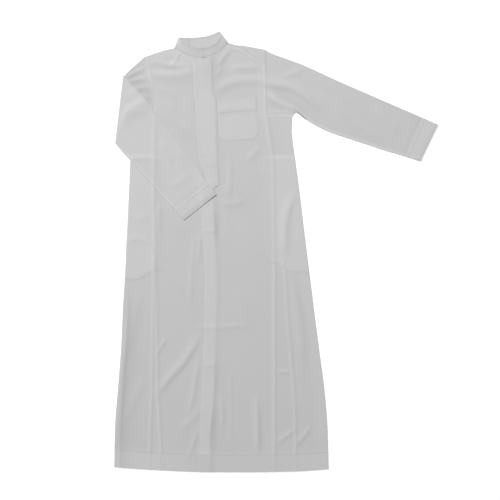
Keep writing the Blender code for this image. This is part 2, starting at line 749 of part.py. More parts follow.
def pocket_point(u, v):
    """A point of the chest pocket, u across and v down, on the front that carries it."""
    top = lerp(POCKET_TOP_LEFT, POCKET_TOP_RIGHT, u)
    low = lerp(POCKET_LOW_LEFT, POCKET_LOW_RIGHT, u)
    return lerp(top, low, v)


def build_pocket():
    depth = math.dist(POCKET_TOP_LEFT, POCKET_LOW_LEFT)
    band = POCKET_BAND_DEPTH / depth
    width = math.dist(POCKET_TOP_LEFT, POCKET_TOP_RIGHT)
    seam = SEAM_HALF / depth
    us = [i / POCKET_COLUMNS for i in range(POCKET_COLUMNS + 1)]
    rows = []
    for v in (0.0, band - seam):
        rows.append([front_point(*pocket_point(u, v), -(BAND_WALL + POCKET_GAP)) for u in us])
    cloth("pocket_band", rows, wall=BAND_WALL, shade=STIFF_SHADE)
    rows = []
    for j in range(POCKET_ROWS + 1):
        v = band + seam + (1 - band - seam) * j / POCKET_ROWS
        into_corner = max(1 - (1 - v) * depth / POCKET_CORNER, 0.0)
        pull = POCKET_CORNER * (1 - math.sqrt(max(1 - into_corner**2, 0.0))) / width
        places = [pocket_point(pull + (1 - 2 * pull) * u, v) for u in us]
        rows.append([front_point(x, y, -(WALL + POCKET_GAP)) for x, y in places])
    cloth("pocket", rows)


def build_bag(side):
    """A side pocket's bag, which lies inside the side panel and shows through as a soft raise."""
    sign = 1 if side == "right" else -1
    rows = []
    for j in range(BAG_ROWS + 1):
        y = BAG_TOP_Y + (BAG_LOW_Y - BAG_TOP_Y) * j / BAG_ROWS
        inner = column(side + "_seam", max(y, GORE_TOP_Y)) + sign * BAG_FROM_SEAM
        outer = column(side + "_edge", y) - sign * BAG_INSET
        slant = BAG_FOOT_SLANT if j == BAG_ROWS else 0.0
        ends = sorted([(inner, y + slant, BAG_Z), (outer, y, BAG_Z)])
        rows.append(spaced(ends[0], ends[1], 2))
    cloth("pocket_bag_" + side, rows)


def main():
    build_back()
    build_yoke()
    build_front_left()
    build_front_right()
    for side in ("left", "right"):
        build_side_panel(side)
        build_gore(side)
        build_bag(side)
    build_straight_sleeve()
    build_folded_sleeve()
    build_collar()
    build_placket()
    build_pocket()


for old in list(bpy.data.objects):
    bpy.data.objects.remove(old)
robe = bpy.data.collections.new("thobe_robe")
bpy.context.scene.collection.children.link(robe)
main()
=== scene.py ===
"""Looks of a thobe robe that lies flat on its back with one sleeve folded over the chest.

Each cut piece of the robe is made here as a thin shell of cloth on the form of its solid, with its
creases, seams and rows of stitches. Sizes are millimetres until a mesh is made. +X is to the right
of someone looking down at the robe, +Y is towards the collar and +Z is up. "left" and "right" are
that viewer's.
"""

import logging
import math
from collections import namedtuple
from dataclasses import dataclass, field
from enum import Enum

import bmesh
import bpy
import numpy as np
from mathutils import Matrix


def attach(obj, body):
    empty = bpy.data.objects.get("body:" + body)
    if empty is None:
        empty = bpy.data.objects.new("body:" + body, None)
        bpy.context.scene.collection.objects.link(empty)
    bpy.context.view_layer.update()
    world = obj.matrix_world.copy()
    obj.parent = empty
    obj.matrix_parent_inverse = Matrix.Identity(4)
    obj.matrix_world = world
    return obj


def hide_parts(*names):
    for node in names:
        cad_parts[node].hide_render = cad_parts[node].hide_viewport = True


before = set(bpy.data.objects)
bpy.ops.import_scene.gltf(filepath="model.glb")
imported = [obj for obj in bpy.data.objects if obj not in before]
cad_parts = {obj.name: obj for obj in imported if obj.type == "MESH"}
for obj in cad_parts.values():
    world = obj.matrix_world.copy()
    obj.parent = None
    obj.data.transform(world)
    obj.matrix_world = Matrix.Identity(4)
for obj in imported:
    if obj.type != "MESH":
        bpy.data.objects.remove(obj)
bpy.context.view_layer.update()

log = logging.getLogger("thobe")

MM = 0.001

# How the layers lie
SEAM_HALF = 0.02
LAY_GAP = 0.5
SOLID_WALL = 1.0
FRONT_TOP = 2.8
HEM_RISE = 0.7
HEM_DEPTH = 56.0
HEM_TURN_RADIUS = 0.6
HEM_SETTLES = 16.0
BAG_RISE = 1.0
BAG_TOP_Y = 312.0
BAG_LOW_Y = -62.0
LEFT_BAG_FOOT = ((-496, -464, -434, -405), (-89.5, -89.5, -76, -60))
RIGHT_BAG_FOOT = ((0, 23, 56, 99), (-33, -50, -66, -66))
NECK_RISE = 7.5
NECK_MIDDLE_X = -247.0
NECK_HALF_WIDTH = 105.0
NECK_TOP_Y = 645.0
NECK_SETTLES = 75.0
STRIP_WIDTH = 39.0
STRIP_RISE = 1.3
STRIP_TOP_Y = 225.0
DEEPEST_DIP = 0.8
STITCH_OUT = 0.12

# The facing that shows through at the placket's left: its levels, and its sides from the placket's edge
FACING_LOW_Y = 268.0
FACING_STEP_Y = 410.0
FACING_TOP_Y = 632.0
FACING_LEFT = -16.0
FACING_RIGHT = 30.0

# Where the shade beside the fold along the robe's left edge begins: levels, and the x at each
EDGE_SHADE = ((-690, -560, -480, -391, -308, -200), (-521, -517, -512, -506, -499, -493))

# Levels down the body
ARMPIT_Y = 448.0
GORE_TOP_Y = 0.0
HEM_Y = -729.3

# The finest mesh that a crease or a seam needs
STEP = 5.0
COLUMN_STEP = 3.2
SEAM_STEPS = (0.0, 0.8, 1.8, 3.2, 4.6, 5.4, 6.2, 7.6, 9.8, 13.0)
STITCH_COLUMN = 5
EDGE_STEPS = (0.0, 0.4, 1.0, 2.2, 3.4, 4.3, 5.0, 5.7, 6.8, 9.0)
EDGE_STITCH = 6
STITCH_IN = 5.0
ROLL_STEPS = 6
EDGE_ANGLE = math.radians(55)

Section = namedtuple("Section", "y left_edge left_gore left_seam centre right_seam right_gore right_edge")
BODY_LINES = [
    Section(448.0, -458, -403, -403, -236, -34, -34, 53),
    Section(404.0, -475, -404, -404, -234, -27, -27, 51),
    Section(355.0, -481, -405, -405, -230, -20, -20, 56),
    Section(305.0, -484, -406, -406, -224, -14, -14, 63),
    Section(206.0, -488, -407, -407, -211, -11, -11, 76),
    Section(73.0, -494, -405, -405, -206, -9, -9, 92),
    Section(0.0, -498, -405.2, -404, -200, -7, -5.8, 101),
    Section(-33.0, -499, -408, -403, -198, -7, 23, 105),
    Section(-126.0, -504, -409, -401, -196, -7, 31, 117),
    Section(-192.0, -508, -410, -400, -197, -7, 34, 125),
    Section(-325.0, -514, -412, -398, -201, -7, 45, 142),
    Section(-457.0, -524, -414, -395, -207, -7, 56, 159),
    Section(-590.0, -534, -419, -388, -213, -7, 62, 170),
    Section(-729.3, -537.5, -422, -383, -216, -7, 64, 174),
]
BODY = dict(zip(Section._fields, zip(*BODY_LINES)))
HEM_X = [-538, -484, -385, -269, -103, 46, 129, 174]
HEM_LINE_Y = [-712, -717, -723, -728, -729.3, -727, -723, -719]

# Shoulder, yoke and neck points, from the left to the right
LEFT_ARMHOLE_Y = [448, 487, 537, 608, 646]
LEFT_ARMHOLE_X = [-403, -410, -415, -429, -438]
RIGHT_ARMHOLE_Y = [448, 537, 632, 671]
RIGHT_ARMHOLE_X = [-34, -35, -37, -38]
LEFT_SHOULDER = [(-438, 646), (-412, 655), (-387, 663.5), (-362, 671), (-338, 676)]
RIGHT_SHOULDER = [(-157, 693), (-132, 686), (-100, 682.5), (-70, 677), (-38, 671)]
LEFT_YOKE_SEAM = [(-429, 608), (-411, 620), (-393, 632), (-355, 648), (-315, 661)]
RIGHT_YOKE_SEAM = [(-166, 684), (-138, 678.5), (-111, 671), (-68, 640), (-37, 632)]
LEFT_NECKLINE = [(-315, 661), (-297, 651), (-279, 645), (-261, 641), (-240, 641)]
RIGHT_NECKLINE = [(-240, 641), (-219, 647), (-203, 654), (-188, 663), (-176, 674), (-166, 684)]
BACK_NECKLINE = [
    (-338, 676),
    (-308, 673),
    (-280, 673.5),
    (-252, 675),
    (-222, 680),
    (-190, 686.5),
    (-157, 693),
]
BACK_YOKE_LEFT_Y = 587.0
BACK_YOKE_RIGHT_Y = 600.0

# A crease follows a path. lean widens the side to the right of its direction.
Crease = namedtuple("Crease", "path height half_width lean", defaults=[1.0])
FRONT_CREASES = [
    Crease([(-402, 636), (-372, 623), (-340, 617), (-298, 616)], 3.4, 8, 1.3),
    Crease([(-352, 616), (-334, 632), (-322, 662)], 2.0, 6),
    Crease([(-432, 604), (-400, 590), (-350, 588), (-270, 596)], 3.4, 10, 2.4),
    Crease([(-200, 520), (-180, 545), (-140, 563), (-85, 568), (-30, 566)], 2.8, 13, 1.1),
    Crease([(-155, 606), (-110, 612), (-50, 612)], 2.2, 8, 1.6),
    Crease([(-146, 676), (-170, 652), (-196, 612)], 2.0, 8),
    Crease([(-246, -262), (-266, -302), (-306, -366), (-349, -414), (-402, -486)], 2.8, 10, 1.5),
    Crease([(-258, -350), (-272, -457), (-290, -545)], 1.8, 9),
    Crease([(-290, -252), (-180, -250), (-88, -240)], 1.1, 9),
    Crease([(-325, -598), (-280, -555), (-240, -510)], 1.2, 12),
    Crease([(-66, -470), (-62, -560), (-58, -690)], 3.2, 10),
    Crease([(66, 205), (42, 150), (31, 90), (29, 40), (31, -25)], 3.2, 13, 1.3),
    Crease([(42, -40), (58, -110), (72, -190), (84, -290), (96, -410)], 2.6, 15, 1.3),
    Crease([(-60, 560), (-20, 556), (50, 542), (104, 506), (150, 462)], 4.4, 17, 0.65),
    Crease([(-30, 536), (3, 508), (36, 488), (86, 462)], 5.0, 6, 1.6),
    Crease([(120, 545), (180, 492), (260, 430)], 1.6, 13, 1.4),
    Crease([(-420, 500), (-370, 484), (-320, 460)], 1.2, 20, 1.3),
    Crease([(-408, 486), (-350, 440), (-268, 380)], 2.2, 20, 1.5),
    Crease([(-405, 548), (-360, 532), (-320, 516)], 0.9, 14),
    Crease([(-305, 510), (-285, 465), (-270, 420)], 0.8, 14),
    Crease([(-174, 616), (-186, 600), (-200, 584)], 1.2, 7),
    Crease([(-104, 296), (-78, 322), (-52, 354)], 1.4, 9, 1.2),
    Crease([(-155, 320), (-152, 240), (-162, 170)], 1.6, 9, 1.3),
    Crease([(-150, 250), (-135, 215), (-115, 170)], 0.9, 10),
    Crease([(-190, 175), (-184, 110), (-188, 40)], -1.5, 10),
    Crease([(-190, 168), (-140, 160), (-98, 178)], 1.2, 8, 1.3),
    Crease([(-266, 60), (-277, -20), (-286, -180)], 1.1, 9),
    Crease([(-250, 70), (-254, 10), (-262, -50)], 1.2, 8),
    Crease([(-384, 170), (-388, 110), (-386, 50)], 1.3, 7),
    Crease([(-506, 34), (-460, 44), (-414, 30)], 1.1, 10),
    Crease([(-500, 130), (-455, 110), (-415, 124)], 0.9, 12),
    Crease(
        [(-526, -690), (-522, -560), (-517, -480), (-511, -391), (-503, -308), (-496, -200), (-492, -120)],
        2.0,
        4,
        2.6,
    ),
    Crease([(-396, -345), (-380, -312), (-364, -285)], 1.5, 7),
    Crease([(-262, -595), (-278, -645), (-296, -700)], 1.8, 8),
    Crease([(-184, -475), (-177, -530), (-180, -590)], 1.6, 7),
    Crease([(-150, -375), (-149, -520), (-151, -670)], 0.6, 4),
    Crease([(0, -399), (26, -397), (52, -399)], 1.3, 6),
    Crease([(2, -634), (34, -610), (64, -584)], 1.7, 7),
    Crease([(62, -644), (90, -612), (118, -574)], 1.7, 8),
    Crease([(-245, 70), (-195, 70)], 1.0, 6),
    Crease([(-248, -375), (-196, -375)], 1.0, 6),
    Crease([(16, 576), (50, 590), (90, 602)], 1.5, 9, 1.2),
    Crease([(-392, 172), (-340, 106), (-272, 52)], 1.0, 24),
    Crease([(-128, 104), (-80, 30), (-34, -30)], 1.0, 22),
    Crease([(-340, -70), (-295, -130), (-254, -200)], 1.1, 22),
    Crease([(-134, -105), (-112, -190), (-88, -275)], 1.0, 20),
    Crease([(-456, -135), (-474, -240), (-494, -345)], 1.3, 15),
    Crease([(-436, -405), (-470, -490), (-504, -575)], 1.1, 17),
    Crease([(-512, 572), (-470, 592), (-430, 612)], 2.4, 6),
    Crease([(-506, 556), (-465, 568), (-422, 578)], 2.0, 6),
    Crease([(-494, 534), (-455, 541), (-416, 546)], 2.2, 6, 1.2),
    Crease([(-474, 516), (-440, 514), (-412, 508)], 2.0, 6),
    Crease([(-458, 500), (-430, 490), (-405, 480)], 1.6, 6),
    Crease([(-490, 470), (-420, 465)], 0.8, 10),
    Crease([(170, 570), (212, 528), (250, 490)], 1.2, 15),
    Crease([(320, 490), (366, 438), (408, 390)], 1.2, 15),
    Crease([(240, 436), (300, 402), (360, 374)], 1.1, 13),
    Crease([(404, 450), (390, 400), (376, 340)], 0.5, 12),
]
FOREARM_CREASES = [
    Crease([(-555, 400), (-515, 446), (-470, 480), (-405, 512)], 3.8, 15, 1.9),
    Crease([(-510, 492), (-475, 520), (-444, 546)], 1.2, 14),
    Crease([(-498, 311), (-445, 315), (-396, 312)], 1.5, 8, 1.6),
    Crease([(-406, 450), (-403, 330), (-404, 200)], 0.9, 9, 1.3),
    Crease([(-356, 216), (-318, 234), (-280, 262)], 1.1, 11, 1.3),
    Crease([(-386, 370), (-360, 330), (-334, 292)], 1.1, 16),
    Crease([(-334, 340), (-312, 290), (-296, 240)], 1.0, 14),
]
BACK_CREASES = [
    Crease([(-380, 500), (-300, 446), (-230, 380)], 0.7, 22),
    Crease([(-90, 520), (-130, 430), (-180, 330)], 0.7, 20),
    Crease([(-330, 250), (-296, 150), (-250, 60)], 0.6, 24),
    Crease([(-60, 200), (-84, 90), (-120, -20)], 0.6, 24),
    Crease([(-300, -100), (-326, -210), (-340, -320)], 0.7, 20),
    Crease([(-170, -160), (-136, -260), (-90, -360)], 0.7, 22),
    Crease([(-250, -420), (-264, -530), (-270, -640)], 0.7, 18),
    Crease([(-110, -450), (-80, -540), (-60, -640)], 0.7, 18),
    Crease([(-450, 100), (-466, -10), (-470, -120)], 0.6, 16),
    Crease([(40, 240), (56, 140), (60, 40)], 0.6, 16),
    Crease([(70, -200), (96, -310), (110, -430)], 0.6, 18),
    Crease([(-460, -300), (-480, -420), (-490, -540)], 0.6, 18),
    Crease([(60, 560), (140, 524), (220, 480)], 0.7, 18),
    Crease([(240, 500), (324, 456), (400, 400)], 0.7, 18),
    Crease([(-330, 640), (-250, 654), (-170, 655)], 0.5, 12),
]

# Painted highlight and painted shade on the straight sleeve's folds beside the armpit, and the middle of the
# shadow painted in its hollow
ARMPIT_PAINTED_HIGHLIGHT = Crease([(-34, 530), (0, 503), (36, 482), (92, 456)], 0.9, 7)
ARMPIT_PAINTED_SHADES = [
    Crease([(-34, 556), (0, 532), (40, 503), (84, 478), (124, 446)], 0.2, 12),
    Crease([(-34, 506), (-4, 488), (40, 466)], 0.2, 9),
]
ARMPIT_HOLLOW = (88, 446.5)

Collar = namedtuple("Collar", "low_x low_y top_x top_y top_z inset")
COLLAR_FRONT_LEFT = [
    Collar(-224, 646, -230, 675, 14.0, 1.8),
    Collar(-240, 641, -247, 672, 14.6, 1.8),
    Collar(-261, 641, -263, 673, 14.4, 0.9),
    Collar(-279, 645, -280, 678, 13.6, 0.0),
    Collar(-297, 651, -295, 686, 12.4, 0.0),
    Collar(-315, 661, -309, 697, 10.6, 0.0),
    Collar(-327, 668.5, -317, 704, 8.4, 0.0),
]
COLLAR_BACK = [
    Collar(-308, 673, -300, 710, 0, 0.0),
    Collar(-280, 673.5, -278, 710.5, 0, 0.0),
    Collar(-252, 675, -250, 712.5, 0, 0.0),
    Collar(-222, 680, -228, 716, 0, 0.0),
    Collar(-190, 686.5, -206, 723.5, 0, 0.0),
]
COLLAR_FRONT_RIGHT = [
    Collar(-166, 684, -184, 714, 8.4, 0.0),
    Collar(-176, 674, -190, 702, 10.8, 0.0),
    Collar(-188, 663, -198, 691, 12.4, 0.0),
    Collar(-203, 654, -210, 682, 13.6, 0.0),
    Collar(-219, 647, -226, 675.5, 14.4, 0.0),
    Collar(-243, 641.3, -249, 672, 15.2, 0.0),
]
COLLAR_LEFT_CORNER = Collar(-338, 676, -323, 711, 6.0, 0.0)
COLLAR_RIGHT_CORNER = Collar(-157, 693, -186, 729.3, 6.0, 0.0)

# Sections of the sleeves, from the shoulder to the cuff: upper edge and lower edge
Ring = namedtuple("Ring", "top_x top_y low_x low_y")
STRAIGHT_SLEEVE = [
    Ring(-10, 656, 69, 461),
    Ring(46, 636, 97, 440),
    Ring(96, 617, 140, 414),
    Ring(159, 588, 185, 394),
    Ring(218, 561, 230, 379),
    Ring(271, 538, 275, 364),
    Ring(324, 515, 318, 350),
    Ring(377, 492, 360, 336),
    Ring(430, 469, 398, 325),
    Ring(490, 443, 434, 314),
]
STRAIGHT_CUFF_END = Ring(537.5, 422, 479, 300)
FOLDED_SLEEVE_UPPER = [
    Ring(-460, 625, -475, 431),
    Ring(-484, 604, -499, 401),
]
FOLD_LINE = Ring(-508, 583, -534, 358)
FOLDED_SLEEVE_LOWER = [
    Ring(-470, 544, -512, 334),
    Ring(-435, 505, -487, 307),
    Ring(-405, 471, -462, 279),
    Ring(-367, 418, -436, 250),
    Ring(-331, 370, -410, 222),
    Ring(-295, 322, -385, 193),
    Ring(-260, 274, -360, 165),
    Ring(-225, 226, -334, 137),
]
FOLDED_CUFF_END = Ring(-198, 191, -307, 105)
FOLD_INNER_RADIUS = 0.3
FOREARM_CLEAR = 0.5
CUFF_STEP = 0.5
STIFF_TONE = 0.4

# Placket and pocket
Strip = namedtuple("Strip", "y left right")
PLACKET = [
    Strip(640.2, -262, -214),
    Strip(614.0, -261, -211.5),
    Strip(537, -259, -209),
    Strip(487, -254, -197),
    Strip(371, -249, -195),
    Strip(288, -239, -192),
    Strip(222, -235, -188.5),
]
PLACKET_TOP = [(-262, 640.2), (-247, 640), (-232, 642.3), (-214, 648)]
PLACKET_TOP_GAP = 0.6
PLACKET_TIP = (-213, 203)
POCKET_TOP_LEFT = (-193, 502)
POCKET_TOP_RIGHT = (-65, 512)
POCKET_LOW_LEFT = (-186, 365)
POCKET_LOW_RIGHT = (-56, 373)
POCKET_BAND_DEPTH = 41.0
POCKET_BAND_RISE = 1.25
POCKET_RISE = 0.85
POCKET_CORNER = 16.0


class Slot(Enum):
    """The finishes that the robe's record names."""

    MAIN = "main_cloth"
    STIFF = "stiffened_cloth"
    POCKETING = "pocketing"


class Held(Enum):
    """How a piece of cloth is kept in the shape in which it lies."""

    LAID = "laid"
    FOLDED = "folded"


def smooth(value: np.ndarray, low: float, high: float) -> np.ndarray:
    """An S-shaped step from 0 at low to 1 at high."""
    t = np.clip((np.asarray(value, float) - low) / (high - low), 0.0, 1.0)
    return t * t * (3 - 2 * t)


def hermite(knots: np.ndarray, values: np.ndarray, tangents: np.ndarray, at: np.ndarray) -> np.ndarray:
    """Cubic pieces through values with the given tangents.

    Args:
        knots: Where the values belong.
        values: What the curve passes through.
        tangents: The curve's slope at each knot.
        at: Where it is wanted.

    Returns:
        The curve's values there.
    """
    at = np.clip(np.asarray(at, float), knots[0], knots[-1])
    i = np.clip(np.searchsorted(knots, at, side="right") - 1, 0, len(knots) - 2)
    span = knots[i + 1] - knots[i]
    t = (at - knots[i]) / span
    extra = values.ndim - 1
    t = t.reshape(t.shape + (1,) * extra)
    span = span.reshape(span.shape + (1,) * extra)
    rest = 1 - t
    start = rest * rest * ((1 + 2 * t) * values[i] + t * span * tangents[i])
    end = t * t * ((3 - 2 * t) * values[i + 1] - rest * span * tangents[i + 1])
    return start + end


def eased(knots: list, values: list, at: np.ndarray) -> np.ndarray:
    """A smooth line through a table, which never swings past the table's values.

    Args:
        knots: Where the table's rows are.
        values: The number in each row.
        at: Where the line is wanted.

    Returns:
        The line's value at each of those places.
    """
    order = np.argsort(knots)
    knots = np.asarray(knots, float)[order]
    values = np.asarray(values, float)[order]
    slopes = np.diff(values) / np.diff(knots)
    before, after = slopes[:-1], slopes[1:]
    same = before * after > 0
    inner = np.zeros_like(before)
    inner[same] = 2 * before[same] * after[same] / (before[same] + after[same])
    return hermite(knots, values, np.concatenate(([slopes[0]], inner, [slopes[-1]])), at)


def flowing(knots: list, points: list, at: np.ndarray) -> np.ndarray:
    """A smooth curve through points, or through whole rows of points.

    Args:
        knots: Where along the curve each point is.
        points: The points, or arrays of points.
        at: Where the curve is wanted.

    Returns:
        A point, or array of points, for each of those places.
    """
    knots = np.asarray(knots, float)
    points = np.asarray(points, float)
    spans = np.diff(knots).reshape((-1,) + (1,) * (points.ndim - 1))
    slopes = np.diff(points, axis=0) / spans
    inner = (spans[1:] * slopes[:-1] + spans[:-1] * slopes[1:]) / (spans[1:] + spans[:-1])
    return hermite(knots, points, np.concatenate((slopes[:1], inner, slopes[-1:])), at)


def crease_path(crease: Crease) -> np.ndarray:
    """Points along a crease, close enough together to look like a smooth curve.

    Args:
        crease: The crease.

    Returns:
        Its points, in order.
    """
    if len(crease.path) == 2:
        return np.array(crease.path, float)
    last = len(crease.path) - 1
    return flowing(range(last + 1), crease.path, np.linspace(0, last, 5 * last + 1))


def crease_height(crease: Crease, x: np.ndarray, y: np.ndarray) -> np.ndarray:
    """A ridge, or a trough, with a bell-shaped section that dies away towards its two ends.

    Args:
        crease: The crease.
        x: Places across the robe, in mm.
        y: Places along the robe, in mm.

    Returns:
        The height at each place, in mm.
    """
    path = crease_path(crease)
    steps = np.linalg.norm(np.diff(path, axis=0), axis=1)
    begins = np.concatenate(([0.0], np.cumsum(steps)))
    nearest = np.full(x.shape, np.inf)
    side = np.zeros(x.shape)
    along = np.zeros(x.shape)
    for start, step, begin, (dx, dy) in zip(path, steps, begins, np.diff(path, axis=0)):
        share = np.clip(((x - start[0]) * dx + (y - start[1]) * dy) / step**2, 0.0, 1.0)
        away = (x - start[0] - share * dx) ** 2 + (y - start[1] - share * dy) ** 2
        closer = away < nearest
        nearest = np.where(closer, away, nearest)
        side = np.where(closer, (x - start[0]) * dy - (y - start[1]) * dx, side)
        along = np.where(closer, (begin + share * step) / begins[-1], along)
    width = np.where(side > 0, crease.half_width * crease.lean, crease.half_width)
    fade = smooth(along, -0.06, 0.3) * (1 - smooth(along, 0.7, 1.06))
    return crease.height * fade * np.exp(-nearest / width**2)


def creases_height(creases: list, x: np.ndarray, y: np.ndarray) -> np.ndarray:
    """The sum of some creases.

    Args:
        creases: The creases.
        x: Places across the robe, in mm.
        y: Places along the robe, in mm.

    Returns:
        The height at each place, in mm.
    """
    x, y = np.broadcast_arrays(np.asarray(x, float), np.asarray(y, float))
    total = np.zeros(x.shape)
    for crease in creases:
        total += crease_height(crease, x, y)
    return total


def band(across: np.ndarray, low: float, high: float, soft: float = 2.0) -> np.ndarray:
    """1 between two distances and 0 outside them, with soft edges."""
    half = soft / 2
    return smooth(across, low - half, low + half) * (1 - smooth(across, high - half, high + half))


def fine_line(across: np.ndarray, half_width: float = 1.0) -> np.ndarray:
    """1 on a thin line and 0 away from it."""
    return np.exp(-((np.asarray(across) / half_width) ** 2))


def settled_rise(inside: np.ndarray, rise: float, wall: float, reach: float = 4.0) -> np.ndarray:
    """How high a sewn-on piece stands above the cloth that carries it.

    Args:
        inside: Distance from the piece's edge.
        rise: Its full height, away from the edge.
        wall: Its own thickness, which is all that shows at the edge.
        reach: How far in it is at its full height.

    Returns:
        The height of its outer face above the cloth.
    """
    at_edge = wall + 0.05
    rounded = 0.15 * np.exp(-((inside / 0.5) ** 2))
    return at_edge + (rise - at_edge) * smooth(inside, 0.0, reach) - rounded


@dataclass(frozen=True)
class SeamLine:
    """The low ridge that a seam and its turned-in edges make in the cloth."""

    rise: float
    left: float
    right: float
    groove: float = 0.12
    stitch: float = 0.0

    def height(self, across: np.ndarray) -> np.ndarray:
        """Height of the ridge at a signed distance from the seam.

        Args:
            across: Distance from the seam, plus to its right.

        Returns:
            The height to add to the cloth there.
        """
        side = np.where(across < 0, self.left, self.right)
        ridge = self.rise * np.exp(-((across / side) ** 4 + (across / side) ** 2) / 2)
        ridge = ridge - self.groove * np.exp(-((across / 0.9) ** 2))
        if self.stitch:
            ridge = ridge - 0.22 * np.exp(-(((across - self.stitch) / 0.7) ** 2))
        return ridge


